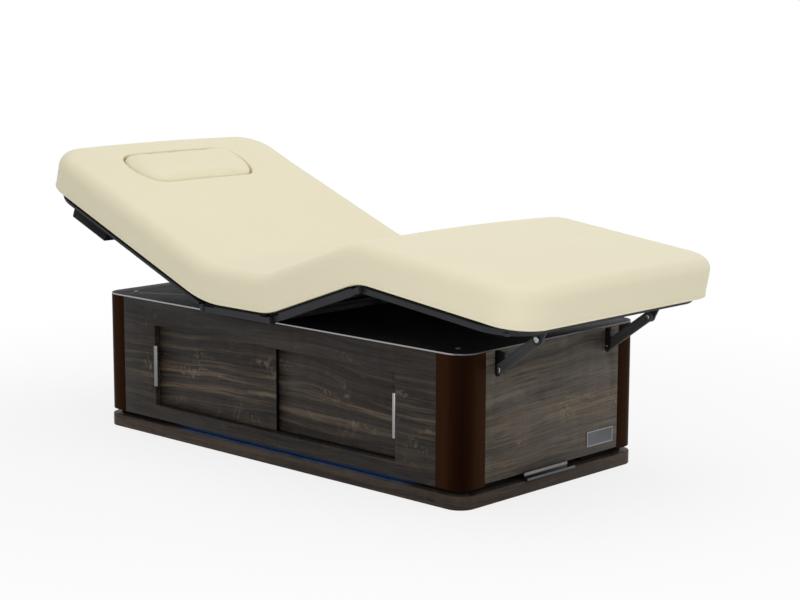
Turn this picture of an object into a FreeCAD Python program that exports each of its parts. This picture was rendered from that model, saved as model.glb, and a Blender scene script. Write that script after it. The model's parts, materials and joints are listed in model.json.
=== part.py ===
import FreeCAD, Part
import Sketcher
import math
import os
import re

# Spa bed with a cabinet base, in millimetres.
# +X points to the foot end, -Y to the door side, +Z up.
# The origin is the middle of the plinth's underside, on the floor.
# The bed stands at its lowest height, with the backrest and the knees raised.
# The backrest, thigh and leg sections are drawn flat, each from its own hinge axis, and then tilted.

SIZES = [
    # Cabinet, plinth and the dark gap between them
    ("cabinet_length", 1434),
    ("cabinet_width", 732),
    ("plinth_height", 36),
    ("plinth_radius", 48),
    ("gap_height", 15.4),
    ("foot_gap_rise", 6.5),
    ("band_inset", 25),
    ("cabinet_top", 399.7),
    ("panel_wall", 18),
    ("post_radius", 53),
    ("post_reach", 90),
    ("floor_wall", 18),
    ("plinth_slot_length", 26),
    ("plinth_slot_height", 6),
    ("plinth_slot_depth", 3),
    ("plinth_slot_inset", 117),
    ("plinth_slot_z", 12),
    ("seat_gap", 0.3),
    ("overrun", 5),
    # Door opening, storage box, tracks and doors
    ("opening_inset", 232),
    ("opening_sill", 8),
    ("opening_head", 14),
    ("box_clear", 63),
    ("box_depth", 218),
    ("box_wall", 12),
    ("box_lift", 14.6),
    ("box_headroom", 4),
    ("door_wall", 10),
    ("door_setback", 20.3),
    ("door_gap", 6),
    ("door_play", 0.4),
    ("door_lap", 12),
    ("door_overlap", 13),
    ("door_foot_play", 1),
    ("door_head_play", 2),
    ("track_base", 2),
    ("track_rib", 2),
    ("track_height", 10),
    ("handle_radius", 7),
    ("handle_length", 120),
    ("handle_drop", 1.5),
    ("handle_inset", 23),
    ("handle_standoff", 25),
    ("handle_stud_radius", 3.5),
    ("handle_stud_spacing", 68),
    # Foot panel slots, plate and pedals
    ("slot_near", 216.5),
    ("slot_width", 25),
    ("slot_drop", 18.7),
    ("plate_y", 142),
    ("plate_length", 113),
    ("plate_lift", 28.6),
    ("plate_height", 42),
    ("plate_wall", 2),
    ("plate_rim", 3),
    ("plate_recess", 0.8),
    ("pedal_bay_half", 150),
    ("pedal_bay_depth", 72),
    ("pedal_axis_reach", 67),
    ("pedal_pin_radius", 1.5),
    ("pedal_pin_play", 0.05),
    ("pedal_barrel_radius", 3),
    ("pedal_strap_width", 20),
    ("pedal_strap_wall", 2.6),
    ("pedal_standoff", 1.2),
    ("pedal_lip_wall", 6),
    ("pedal_ear", 5),
    ("pedal_ear_length", 12),
    ("pedal_ear_height", 13),
    ("raise_axis_lift", 9.5),
    ("raise_lip_lift", 24),
    ("raise_left", -127),
    ("raise_right", 51),
    ("raise_strap_one", -100),
    ("raise_strap_two", 20),
    ("lower_axis_lift", 5.4),
    ("lower_lip_drop", 2),
    ("lower_left", -114),
    ("lower_right", 86),
    ("lower_strap_one", -60),
    ("lower_strap_two", 62),
    # Light strips, control unit and mains inlet
    ("light_head_inset", 297),
    ("light_foot_inset", 157),
    ("light_wall", 4),
    ("light_height", 8),
    ("light_lift", 2),
    ("control_length", 180),
    ("control_width", 100),
    ("control_height", 60),
    ("control_x", -200),
    ("control_y", 120),
    ("inlet_y", 200),
    ("inlet_lift", 28.6),
    ("inlet_width", 50),
    ("inlet_height", 30),
    ("inlet_flange", 2),
    ("inlet_depth", 30),
    ("inlet_rim", 4),
    # Lifting columns
    ("column_inset", 297),
    ("column_length", 150),
    ("column_width", 110),
    ("column_wall", 4),
    ("column_play", 0.3),
    ("column_foot", 20),
    ("column_plate", 4),
    ("column_step", 4),
    # Deck and lift frame
    ("deck_gap", 0.3),
    ("deck_wall", 4),
    ("trim_width", 2),
    ("screw_end_inset", 72),
    ("screw_side_inset", 63),
    ("screw_radius", 3),
    ("screw_head_radius", 6.5),
    ("screw_head", 2),
    ("screw_length", 14),
    ("screw_play", 0.2),
    ("beam_height", 40),
    ("beam_width", 40),
    ("beam_wall", 3),
    ("beam_y", 150),
    ("rib_height", 20),
    ("rib_width", 20),
    ("rib_past_screw", 15),
    ("saddle_width", 20),
    ("saddle_one_offset", 103.6),
    ("saddle_two_offset", 163.6),
    # Mattress
    ("hinge_drop", 16),
    ("mattress_wall", 116),
    ("mattress_half", 420),
    ("side_draw", 4),
    ("crown", 7),
    ("top_radius", 18),
    ("back_top_radius", 30),
    ("bottom_radius", 4),
    ("plan_radius", 105),
    ("back_x", -213.6),
    ("hinge_lift", 13.5),
    ("seat_length", 274.4),
    ("thigh_length", 359.7),
    ("leg_length", 554),
    ("back_length", 797),
    ("back_tilt", 21.8),
    ("thigh_tilt", 19.72),
    ("leg_tilt", 6.8),
    ("back_bend_half", 78),
    ("thigh_bend_half", 45),
    ("knee_bend_half", 30),
    # Face cushion
    ("plug_inset", 92),
    ("plug_length", 192),
    ("plug_half", 222),
    ("plug_head_half", 165),
    ("plug_foot_half", 155),
    ("plug_waist_share", 0.35),
    ("plug_offset", 8),
    ("plug_depth", 60),
    ("plug_rise", 6),
    ("plug_edge", 10),
    # Boards and frames
    ("board_wall", 5),
    ("board_end", 44),
    ("board_gap", 12),
    ("rail_inset", 5),
    ("rail_width", 20),
    ("rail_radius", 100),
    ("rail_end_inset", 51),
    ("leg_end_inset", 42),
    ("back_rail", 8),
    ("seat_rail", 19),
    ("thigh_rail", 21),
    ("leg_rail", 15),
    ("seat_rail_start", 49.6),
    ("seat_rail_gap", 35),
    ("thigh_rail_gap", 44),
    ("knee_rail_gap", 22),
    ("leg_rail_gap", 36),
    ("back_rail_gap", 20),
    ("ear_half", 8),
    ("barrel_radius", 10),
    ("pin_radius", 5),
    ("pin_play", 0.05),
    ("pin_head_radius", 8),
    ("pin_head", 2.5),
    ("ear_gap", 0.3),
    ("cross_width", 20),
    ("back_head_cross_share", 0.62),
    ("back_middle_cross_share", 0.34),
    ("leg_cross_share", 0.4),
    ("head_box_inset", 173),
    ("head_box_length", 163),
    ("head_box_width", 46),
    ("head_box_height", 27),
    # Actuators and levers
    ("lever_y", 80),
    ("lever_wall", 8),
    ("lever_half", 15),
    ("lever_drop", 66),
    ("lever_reach", 70),
    ("lever_slot_half", 7.5),
    ("lever_slot_reach", 5.2),
    ("back_lever_middle", 27.5),
    ("thigh_lever_middle", 12.5),
    ("lever_window", 32),
    ("lever_window_width", 20),
    ("rod_radius", 10),
    ("rod_play", 0.05),
    ("fork_gap", 0.5),
    ("fork_wall", 4),
    ("fork_half", 11),
    ("fork_web", 8),
    ("fork_reach", 26),
    ("rod_length", 113.5),
    ("back_rod_space", 33.5),
    ("leg_rod_space", 29),
    ("drive_length", 130),
    ("drive_half_width", 22),
    ("drive_half_height", 18),
    ("drive_end_wall", 10),
    ("gear_case", 25),
    ("motor_offset", 42),
    ("motor_radius", 17),
    ("motor_length", 100),
    # Foot linkage
    ("pivot_inset", 95),
    ("pivot_drop", 39.2),
    ("link_proud", 2),
    ("link_drop", 50.3),
    ("bracket_space", 40),
    ("bracket_nose", 12),
    ("bracket_lift", 9),
    ("bracket_height", 55),
    ("bracket_play", 1),
    ("bracket_wall", 5),
    ("link_gap", 1),
    ("link_wall", 8),
    ("link_half", 13.5),
    ("lug_wall", 6),
    ("lug_half", 15),
    ("lug_inset", 66),
    ("lug_length", 60),
    ("lug_hole_radius", 7.5),
    ("bolt_radius", 4),
    ("bolt_play", 0.05),
    ("bolt_head_radius", 9.5),
    ("bolt_small_radius", 8.5),
    ("bolt_head", 5),
    ("nut_radius", 7),
    ("nut_wall", 4),
]

# Sizes worked out from the ones above, in the order in which they build on each other.
DERIVED = [
    ("end_x", "cabinet_length / 2"),
    ("side_y", "cabinet_width / 2"),
    ("gap_top", "plinth_height + gap_height"),
    ("floor_top", "gap_top + floor_wall"),
    ("inner_x", "end_x - panel_wall"),
    ("inner_y", "side_y - panel_wall"),
    ("panel_x", "end_x - post_reach"),
    ("plinth_slot_x", "end_x - plinth_slot_inset"),
    ("light_start", "light_head_inset - end_x"),
    ("light_end", "end_x - light_foot_inset"),
    ("plate_low", "gap_top + plate_lift"),
    ("inlet_z", "gap_top + inlet_lift"),
    ("panel_y", "side_y - post_reach"),
    ("band_x", "end_x - band_inset"),
    ("band_y", "side_y - band_inset"),
    ("deck_bottom", "cabinet_top + deck_gap"),
    ("deck_top", "deck_bottom + deck_wall"),
    ("beam_bottom", "deck_bottom - beam_height"),
    ("column_top", "beam_bottom - column_plate"),
    ("column_x", "end_x - column_inset"),
    ("screw_x", "end_x - screw_end_inset"),
    ("screw_y", "side_y - screw_side_inset"),
    ("rib_end", "screw_x + rib_past_screw"),
    ("opening_half", "end_x - opening_inset"),
    ("door_edge", "opening_half + door_lap"),
    ("box_half", "door_edge + box_clear"),
    ("box_low", "floor_top + box_lift"),
    ("box_high", "beam_bottom - box_wall - box_headroom"),
    ("opening_low", "box_low + opening_sill"),
    ("opening_high", "box_high - opening_head"),
    ("door_low", "box_low + track_base + door_foot_play"),
    ("door_high", "box_high - track_base - door_head_play"),
    ("handle_middle", "(door_low + door_high) / 2 - handle_drop"),
    ("left_door_front", "door_setback - side_y"),
    ("right_door_front", "left_door_front + door_wall + door_gap"),
    ("hinge_z", "deck_top + hinge_lift"),
    ("thigh_x", "back_x + seat_length"),
    ("knee_x", "thigh_x + thigh_length * cos(thigh_tilt)"),
    ("knee_z", "hinge_z + thigh_length * sin(thigh_tilt)"),
    ("mattress_top", "hinge_drop + mattress_wall"),
    ("plug_head", "back_length - plug_inset"),
    ("board_low", "hinge_drop - board_wall"),
    ("board_half", "mattress_half - side_draw"),
    ("rail_half", "mattress_half - rail_inset"),
    ("rail_inner", "rail_half - rail_width"),
    ("head_box_end", "back_length - head_box_inset"),
    ("head_box_start", "head_box_end - head_box_length"),
    ("lug_end", "leg_length - lug_inset"),
    ("lug_start", "lug_end - lug_length"),
    ("pivot_along", "leg_length - pivot_inset"),
    ("rod_z", "hinge_z - lever_drop"),
    ("back_pin_x", "back_x + lever_drop * tan(back_lever_middle - back_tilt)"),
    ("leg_pin_x", "thigh_x + lever_drop * tan(thigh_tilt - thigh_lever_middle)"),
    ("saddle_low", "rod_z + drive_half_height + seat_gap"),
    ("saddle_one", "back_x + saddle_one_offset"),
    ("saddle_two", "back_x + saddle_two_offset"),
    ("raise_axis_z", "plinth_height + raise_axis_lift"),
    ("raise_lip_high", "plinth_height + raise_lip_lift"),
    ("lower_axis_z", "plinth_height + lower_axis_lift"),
    ("lower_lip_low", "plinth_height - lower_lip_drop"),
    ("pedal_axis_x", "end_x - pedal_axis_reach"),
    ("pedal_front", "end_x + pedal_standoff"),
    ("link_x", "end_x + link_proud"),
    ("link_z", "deck_bottom - link_drop"),
    ("slot_far", "slot_near + slot_width"),
    ("slot_low", "link_z - slot_drop"),
    ("bracket_y", "slot_near + bracket_play"),
    ("bracket_start", "box_half + bracket_space"),
    ("beam_end", "bracket_start + beam_width"),
    ("bracket_end", "link_x + bracket_nose"),
    ("bracket_low", "slot_low + bracket_lift"),
    ("bracket_high", "bracket_low + bracket_height"),
    ("link_y", "bracket_y + bracket_wall + link_gap"),
    ("lug_y", "link_y + link_wall + link_gap"),
    ("pivot_x", "knee_x + pivot_along * cos(leg_tilt) - pivot_drop * sin(leg_tilt)"),
    ("pivot_z", "knee_z - pivot_along * sin(leg_tilt) - pivot_drop * cos(leg_tilt)"),
]

X_AXIS = FreeCAD.Vector(1, 0, 0)
Y_AXIS = FreeCAD.Vector(0, 1, 0)
Z_AXIS = FreeCAD.Vector(0, 0, 1)
TURNS = {
    "x": FreeCAD.Rotation(Y_AXIS, 90),
    "y": FreeCAD.Rotation(X_AXIS, -90),
    "z": FreeCAD.Rotation(),
}
ALL_CORNERS = ((-1, -1), (1, -1), (1, 1), (-1, 1))
HEAD_CORNERS = ((-1, -1), (-1, 1))
FOOT_CORNERS = ((1, -1), (1, 1))

# Where each tilted section hinges, and how far it is turned about +Y.
SECTIONS = {
    "back": ("back_x", "hinge_z", "back_tilt"),
    "thigh": ("thigh_x", "hinge_z", "0 - thigh_tilt"),
    "leg": ("knee_x", "knee_z", "leg_tilt"),
}

doc = FreeCAD.newDocument("spa_bed")
sheet = doc.addObject("Spreadsheet::Sheet", "Sizes")
for row, (alias, number) in enumerate(SIZES, start=1):
    sheet.set(f"A{row}", alias)
    sheet.set(f"B{row}", str(number))
    sheet.setAlias(f"B{row}", alias)
doc.recompute()

derived = doc.addObject("App::VarSet", "Derived")
OWNERS = {alias: "Sizes" for alias, number in SIZES}


def bind(feature, path, text):
    """Tie a property to an expression in which the sizes are written by name."""
    named = re.sub(r"[a-z][a-z0-9_]*", lambda word: owned(word.group(0)), text)
    feature.setExpression(path, named)


def owned(word):
    return f"{OWNERS[word]}.{word}" if word in OWNERS else word


for alias, text in DERIVED:
    derived.addProperty("App::PropertyFloat", alias)
    bind(derived, alias, text)
    OWNERS[alias] = "Derived"
doc.recompute()


def value(alias):
    return float(getattr(doc.getObject(OWNERS[alias]), alias))


nodes = {}


def node(feature, section=None):
    """Name a finished piece, and tilt it with its section."""
    if section:
        x, z, angle = SECTIONS[section]
        feature.Placement = FreeCAD.Placement(FreeCAD.Vector(), FreeCAD.Rotation(Y_AXIS, value("back_tilt")))
        bind(feature, "Placement.Base.x", x)
        bind(feature, "Placement.Base.z", z)
        bind(feature, "Placement.Rotation.Angle", angle)
    nodes[feature.Label] = feature
    return feature


def box(label, x, y, z):
    """Block between low and high ends along each axis."""
    feature = doc.addObject("Part::Box", label)
    for side, axis, (low, high) in zip(("Length", "Width", "Height"), "xyz", (x, y, z)):
        bind(feature, side, f"({high}) - ({low})")
        bind(feature, f"Placement.Base.{axis}", low)
    return feature


def rod(label, axis, radius, ends, centre):
    """Round bar along an axis, from ends[0] to ends[1], about the centre of the other two axes."""
    feature = doc.addObject("Part::Cylinder", label)
    feature.Placement = FreeCAD.Placement(FreeCAD.Vector(), TURNS[axis])
    low, high = ends
    bind(feature, "Radius", radius)
    bind(feature, "Height", f"({high}) - ({low})")
    places = list(centre)
    places.insert("xyz".index(axis), low)
    for name, place in zip("xyz", places):
        bind(feature, f"Placement.Base.{name}", place)
    return feature


def slab(label, x, y, z, radius, corners=ALL_CORNERS):
    """Plate with its chosen upright edges rounded, as a sketched pad."""
    body = doc.addObject("PartDesign::Body", label)
    sketch = body.newObject("Sketcher::SketchObject", label + "_outline")
    plane = [part for part in body.Origin.OriginFeatures if part.Role == "XY_Plane"][0]
    sketch.AttachmentSupport = [(plane, "")]
    sketch.MapMode = "FlatFace"
    square = [FreeCAD.Vector(across, along, 0) for across, along in ((0, 0), (1, 0), (1, 1), (0, 1))]
    for start in range(4):
        sketch.addGeometry(Part.LineSegment(square[start], square[(start + 1) % 4]))
    for start in range(4):
        sketch.addConstraint(Sketcher.Constraint("Coincident", start, 2, (start + 1) % 4, 1))
    sketch.addConstraint(Sketcher.Constraint("Coincident", 0, 1, -1, 1))
    for line in (0, 2):
        sketch.addConstraint(Sketcher.Constraint("Horizontal", line))
    for line in (1, 3):
        sketch.addConstraint(Sketcher.Constraint("Vertical", line))
    length = sketch.addConstraint(Sketcher.Constraint("DistanceX", 0, 1, 0, 2, 1))
    sketch.renameConstraint(length, "length")
    width = sketch.addConstraint(Sketcher.Constraint("DistanceY", 1, 1, 1, 2, 1))
    sketch.renameConstraint(width, "width")
    bind(sketch, "Constraints.length", f"({x[1]}) - ({x[0]})")
    bind(sketch, "Constraints.width", f"({y[1]}) - ({y[0]})")
    for axis, (low, high) in zip("xyz", (x, y, z)):
        bind(sketch, f"AttachmentOffset.Base.{axis}", low)
    pad = body.newObject("PartDesign::Pad", label + "_pad")
    pad.Profile = sketch
    bind(pad, "Length", f"({z[1]}) - ({z[0]})")
    doc.recompute()
    middle = pad.Shape.BoundBox.Center
    chosen = []
    for number, edge in enumerate(pad.Shape.Edges, start=1):
        first, last = edge.Vertexes[0].Point, edge.Vertexes[-1].Point
        upright = math.hypot(first.x - last.x, first.y - last.y) < value("seat_gap")
        side = (math.copysign(1, first.x - middle.x), math.copysign(1, first.y - middle.y))
        if upright and side in corners:
            chosen.append(f"Edge{number}")
    rounding = body.newObject("PartDesign::Fillet", label + "_rounding")
    rounding.Base = (pad, chosen)
    bind(rounding, "Radius", radius)
    body.Tip = rounding
    doc.recompute()
    return body


def fuse(label, parts):
    feature = doc.addObject("Part::MultiFuse", label)
    feature.Shapes = parts
    return feature


def group(label, parts):
    """Separate pieces of one kind, kept together."""
    feature = doc.addObject("Part::Compound", label)
    feature.Links = parts
    return feature


def cut(label, base, tools):
    feature = doc.addObject("Part::Cut", label)
    feature.Base = base
    feature.Tool = tools[0] if len(tools) == 1 else fuse(label + "_tools", tools)
    return feature


def formed(label, shape):
    """Piece whose shape is worked out here from the sheet's sizes."""
    feature = doc.addObject("Part::Feature", label)
    feature.Shape = shape
    return feature


def mirrored(low, high):
    """The same span on the other side of the middle."""
    return f"0 - ({high})", f"0 - ({low})"


def sides(low, high):
    return {"near": mirrored(low, high), "far": (low, high)}


# Cabinet

def make_plinth():
    whole = slab("plinth_slab", ("0 - end_x", "end_x"), ("0 - side_y", "side_y"), ("0", "plinth_height"),
                 "plinth_radius")
    slot = box("plinth_slot", ("plinth_slot_x", "plinth_slot_x + plinth_slot_length"),
               ("0 - side_y - overrun", "plinth_slot_depth - side_y"),
               ("plinth_slot_z", "plinth_slot_z + plinth_slot_height"))
    node(cut("plinth", whole, [slot]))


def make_band():
    whole = slab("band_slab", ("0 - band_x", "band_x"), ("0 - band_y", "band_y"),
                 ("plinth_height", "gap_top"), "plinth_radius - band_inset")
    bay = box("band_bay", ("end_x - band_inset - pedal_bay_depth", "end_x"),
              ("0 - pedal_bay_half", "pedal_bay_half"),
              ("plinth_height - overrun", "gap_top + overrun"))
    node(cut("recess_band", whole, [bay]))


def make_floor():
    node(slab("cabinet_floor", ("seat_gap - inner_x", "inner_x - seat_gap"),
              ("seat_gap - inner_y", "inner_y - seat_gap"), ("gap_top", "floor_top"),
              "post_radius - panel_wall + seat_gap"))


def make_side_panels():
    whole = box("near_panel_board", ("0 - panel_x", "panel_x"), ("0 - side_y", "0 - inner_y"),
                ("gap_top", "cabinet_top"))
    opening = box("near_panel_opening", ("0 - opening_half", "opening_half"),
                  ("0 - side_y - overrun", "overrun - inner_y"), ("opening_low", "opening_high"))
    node(cut("near_panel", whole, [opening]))
    node(box("far_panel", ("0 - panel_x", "panel_x"), ("inner_y", "side_y"), ("gap_top", "cabinet_top")))


def make_end_panels():
    head = box("head_panel_board", ("0 - end_x", "0 - inner_x"), ("0 - panel_y", "panel_y"),
               ("gap_top", "cabinet_top"))
    inlet_hole = box("inlet_hole", ("0 - end_x - overrun", "overrun - inner_x"),
                     ("inlet_y + inlet_rim - seat_gap", "inlet_y + inlet_width - inlet_rim + seat_gap"),
                     ("inlet_z + inlet_rim - seat_gap", "inlet_z + inlet_height - inlet_rim + seat_gap"))
    node(cut("head_panel", head, [inlet_hole]))
    foot = box("foot_panel_board", ("inner_x", "end_x"), ("0 - panel_y", "panel_y"),
               ("gap_top + foot_gap_rise", "cabinet_top"))
    tools = []
    for side, (low, high) in sides("slot_near", "slot_far").items():
        round_radius = "(slot_far - slot_near) / 2"
        tools.append(box(f"{side}_slot", ("inner_x - overrun", "end_x + overrun"), (low, high),
                         (f"slot_low + {round_radius}", "cabinet_top + overrun")))
        tools.append(rod(f"{side}_slot_round", "x", round_radius, ("inner_x - overrun", "end_x + overrun"),
                         (f"({low} + {high}) / 2", f"slot_low + {round_radius}")))
    node(cut("foot_panel", foot, tools))


def make_posts():
    for end, x_side in (("head", -1), ("foot", 1)):
        for side, y_side in (("near", -1), ("far", 1)):
            x_outer = ("end_x - post_reach", "end_x")
            x_inner = ("end_x - post_reach - overrun", "inner_x")
            y_outer = ("side_y - post_reach", "side_y")
            y_inner = ("side_y - post_reach - overrun", "inner_y")
            if x_side < 0:
                x_outer, x_inner = mirrored(*x_outer), mirrored(*x_inner)
            if y_side < 0:
                y_outer, y_inner = mirrored(*y_outer), mirrored(*y_inner)
            label = f"{end}_{side}_post"
            corner = ((x_side, y_side),)
            outer = slab(label + "_outer", x_outer, y_outer, ("gap_top", "cabinet_top"),
                         "post_radius", corner)
            inner = slab(label + "_inner", x_inner, y_inner,
                         ("gap_top - overrun", "cabinet_top + overrun"),
                         "post_radius - panel_wall", corner)
            node(cut(label, outer, [inner]))


def make_storage():
    outer = box("storage_outer", ("0 - box_half", "box_half"), ("0 - inner_y", "box_depth - inner_y"),
                ("floor_top", "box_high + box_wall"))
    inner = box("storage_inner", ("box_wall - box_half", "box_half - box_wall"),
                ("0 - inner_y - overrun", "box_depth - box_wall - inner_y"), ("box_low", "box_high"))
    node(cut("storage_box", outer, [inner]))
    ribs = {
        "front": ("0 - inner_y", "left_door_front - door_play"),
        "middle": ("left_door_front + door_wall + door_play", "right_door_front - door_play"),
        "rear": ("right_door_front + door_wall + door_play",
                 "right_door_front + door_wall + door_play + track_rib"),
    }
    heights = {
        "lower": (("box_low", "box_low + track_base"), ("box_low", "box_low + track_height")),
        "upper": (("box_high - track_base", "box_high"), ("box_high - track_height", "box_high")),
    }
    span = ("box_wall - box_half", "box_half - box_wall")
    tracks = []
    for level, (base_z, rib_z) in heights.items():
        parts = [box(f"{level}_track_base", span, (ribs["front"][0], ribs["rear"][1]), base_z)]
        for place, y in ribs.items():
            parts.append(box(f"{level}_track_{place}", span, y, rib_z))
        tracks.append(fuse(f"{level}_track", parts))
    node(group("door_tracks", tracks))


def make_doors():
    doors = {
        "left": ("0 - door_edge", "door_overlap", "left_door_front", "0 - door_edge + handle_inset"),
        "right": ("0 - door_overlap", "door_edge", "right_door_front", "door_edge - handle_inset"),
    }
    for side, (start, end, front, handle_x) in doors.items():
        node(box(f"{side}_door", (start, end), (front, f"{front} + door_wall"), ("door_low", "door_high")))
        bar_y = f"{front} - handle_standoff"
        parts = [rod(f"{side}_handle_bar", "z", "handle_radius",
                     ("handle_middle - handle_length / 2", "handle_middle + handle_length / 2"),
                     (handle_x, bar_y))]
        for place, sign in (("lower", "-"), ("upper", "+")):
            parts.append(rod(f"{side}_handle_{place}", "y", "handle_stud_radius", (bar_y, front),
                             (handle_x, f"handle_middle {sign} handle_stud_spacing / 2")))
        node(fuse(f"{side}_handle", parts))


def make_fittings():
    plate = box("plate_blank", ("end_x", "end_x + plate_wall"), ("plate_y", "plate_y + plate_length"),
                ("plate_low", "plate_low + plate_height"))
    field = box("plate_field", ("end_x + plate_wall - plate_recess", "end_x + plate_wall + overrun"),
                ("plate_y + plate_rim", "plate_y + plate_length - plate_rim"),
                ("plate_low + plate_rim", "plate_low + plate_height - plate_rim"))
    node(cut("blank_plate", plate, [field]))
    strips = []
    for side, y in sides("band_y", "band_y + light_wall").items():
        strips.append(box(f"{side}_light", ("light_start", "light_end"), y,
                          ("plinth_height + light_lift", "plinth_height + light_lift + light_height")))
    node(group("light_strips", strips))
    node(box("control_unit", ("control_x", "control_x + control_length"),
             ("control_y", "control_y + control_width"), ("floor_top", "floor_top + control_height")))
    flange = box("inlet_flange_plate", ("0 - end_x - inlet_flange", "0 - end_x"),
                 ("inlet_y", "inlet_y + inlet_width"), ("inlet_z", "inlet_z + inlet_height"))
    case = box("inlet_case", ("0 - end_x", "inlet_depth - end_x"),
               ("inlet_y + inlet_rim", "inlet_y + inlet_width - inlet_rim"),
               ("inlet_z + inlet_rim", "inlet_z + inlet_height - inlet_rim"))
    socket = box("inlet_socket", ("0 - end_x - inlet_flange - overrun", "inlet_depth - inlet_rim - end_x"),
                 ("inlet_y + 2 * inlet_rim", "inlet_y + inlet_width - 2 * inlet_rim"),
                 ("inlet_z + 2 * inlet_rim", "inlet_z + inlet_height - 2 * inlet_rim"))
    node(cut("mains_inlet", fuse("inlet_body", [flange, case]), [socket]))


# Foot pedals in the gap: the upper one is lifted with the toe, the lower one is pressed down

PEDALS = {
    "raise": ("raise_axis_z", ("raise_left", "raise_right"), ("raise_strap_one", "raise_strap_two"),
              ("raise_axis_z - pedal_strap_wall / 2", "raise_lip_high")),
    "lower": ("lower_axis_z", ("lower_left", "lower_right"), ("lower_strap_one", "lower_strap_two"),
              ("lower_lip_low", "lower_axis_z + pedal_strap_wall / 2")),
}


def make_pedals():
    pivots = []
    for name, (axis_z, lip_y, straps, lip_z) in PEDALS.items():
        front = ("pedal_front", "pedal_front + pedal_lip_wall")
        parts = [box(f"{name}_lip", front, lip_y, lip_z)]
        bores = []
        for number, strap in enumerate(straps):
            label = f"{name}_{number}"
            y = (strap, f"{strap} + pedal_strap_width")
            centre = ("pedal_axis_x", axis_z)
            parts.append(box(label + "_strap", ("pedal_axis_x", "pedal_front + overrun"), y,
                             (f"{axis_z} - pedal_strap_wall / 2", f"{axis_z} + pedal_strap_wall / 2")))
            parts.append(rod(label + "_barrel", "y", "pedal_barrel_radius", y, centre))
            bores.append(rod(label + "_bore", "y", "pedal_pin_radius + pedal_pin_play",
                             (f"{y[0]} - overrun", f"{y[1]} + overrun"), centre))
            ears = []
            spans = ((f"{y[0]} - seat_gap - pedal_ear", f"{y[0]} - seat_gap"),
                     (f"{y[1]} + seat_gap", f"{y[1]} + seat_gap + pedal_ear"))
            for ear, span in enumerate(spans):
                ears.append(box(f"{label}_ear_{ear}",
                                ("pedal_axis_x - pedal_ear_length / 2",
                                 "pedal_axis_x + pedal_ear_length / 2"),
                                span, ("plinth_height", "plinth_height + pedal_ear_height")))
            ears.append(rod(label + "_pin", "y", "pedal_pin_radius", (spans[0][0], spans[1][1]), centre))
            pivots.append(fuse(label + "_pivot", ears))
        node(cut(f"{name}_pedal", fuse(f"{name}_pedal_body", parts), bores))
    node(group("pedal_pivots", pivots))


# Lifting columns: fixed, middle and inner tubes

def column_tube(label, x_sign, shrink, low, high, plate=None):
    """Square tube about a column's axis, drawn in by shrink on every side, with an end plate if named."""
    middle = f"{x_sign} column_x"
    half_length = f"(column_length / 2 - {shrink})"
    half_width = f"(column_width / 2 - {shrink})"
    outer = box(label + "_outer", (f"{middle} - {half_length}", f"{middle} + {half_length}"),
                (f"0 - {half_width}", half_width), (low, high))
    inner = box(label + "_inner", (f"{middle} - {half_length} + column_wall",
                                   f"{middle} + {half_length} - column_wall"),
                (f"0 - {half_width} + column_wall", f"{half_width} - column_wall"),
                (f"{low} - overrun", f"{high} + overrun"))
    tube = cut(label + "_tube", outer, [inner])
    if plate is None:
        return tube
    plate_box = box(label + "_plate", (f"{middle} - {half_length} - column_foot",
                                       f"{middle} + {half_length} + column_foot"),
                    (f"0 - {half_width} - column_foot", f"{half_width} + column_foot"), plate)
    return fuse(label, [tube, plate_box])


def make_columns():
    step = "(column_wall + column_play)"
    middles = []
    for end, sign in (("head", "0 -"), ("foot", "0 +")):
        node(column_tube(f"{end}_column_outer", sign, "0", "floor_top + column_plate",
                         "column_top - 2 * column_step", ("floor_top", "floor_top + column_plate")))
        middles.append(column_tube(f"{end}_column_middle", sign, step,
                                   "floor_top + column_plate + column_step", "column_top - column_step"))
        node(column_tube(f"{end}_column_inner", sign, f"2 * {step}",
                         "floor_top + column_plate + 2 * column_step", "column_top",
                         ("column_top", "beam_bottom")))
    node(group("column_middles", middles))


# Deck and lift frame

def make_deck():
    plate = slab("deck_plate", ("trim_width - end_x", "end_x - trim_width"),
                 ("trim_width - side_y", "side_y - trim_width"), ("deck_bottom", "deck_top"),
                 "post_radius - trim_width")
    tools = []
    for name, x, (low, high) in (("back", "back_x", mirrored("lever_y", "lever_y")),
                                 ("thigh", "thigh_x", ("lever_y", "lever_y"))):
        tools.append(box(f"{name}_window", (f"{x} - lever_window", f"{x} + lever_window"),
                         (f"{low} - lever_window_width / 2", f"{high} + lever_window_width / 2"),
                         ("deck_bottom - overrun", "deck_top + overrun")))
    for number, (x_side, y_side) in enumerate(ALL_CORNERS):
        centre = (f"{x_side} * screw_x", f"{y_side} * screw_y")
        tools.append(rod(f"deck_hole_{number}", "z", "screw_radius + screw_play",
                         ("deck_bottom - overrun", "deck_top + overrun"), centre))
    node(cut("deck", plate, tools))
    outer = slab("trim_outer", ("0 - end_x", "end_x"), ("0 - side_y", "side_y"),
                 ("deck_bottom", "deck_top"), "post_radius")
    inner = slab("trim_inner", ("trim_width - end_x", "end_x - trim_width"),
                 ("trim_width - side_y", "side_y - trim_width"),
                 ("deck_bottom - overrun", "deck_top + overrun"), "post_radius - trim_width")
    node(cut("deck_trim", outer, [inner]))
    screws = []
    for number, (x_side, y_side) in enumerate(ALL_CORNERS):
        centre = (f"{x_side} * screw_x", f"{y_side} * screw_y")
        head = rod(f"screw_head_{number}", "z", "screw_head_radius", ("deck_top", "deck_top + screw_head"),
                   centre)
        shank = rod(f"screw_shank_{number}", "z", "screw_radius",
                    ("deck_top - screw_length", "deck_top"), centre)
        screws.append(fuse(f"screw_{number}", [head, shank]))
    node(group("deck_screws", screws))


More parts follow.
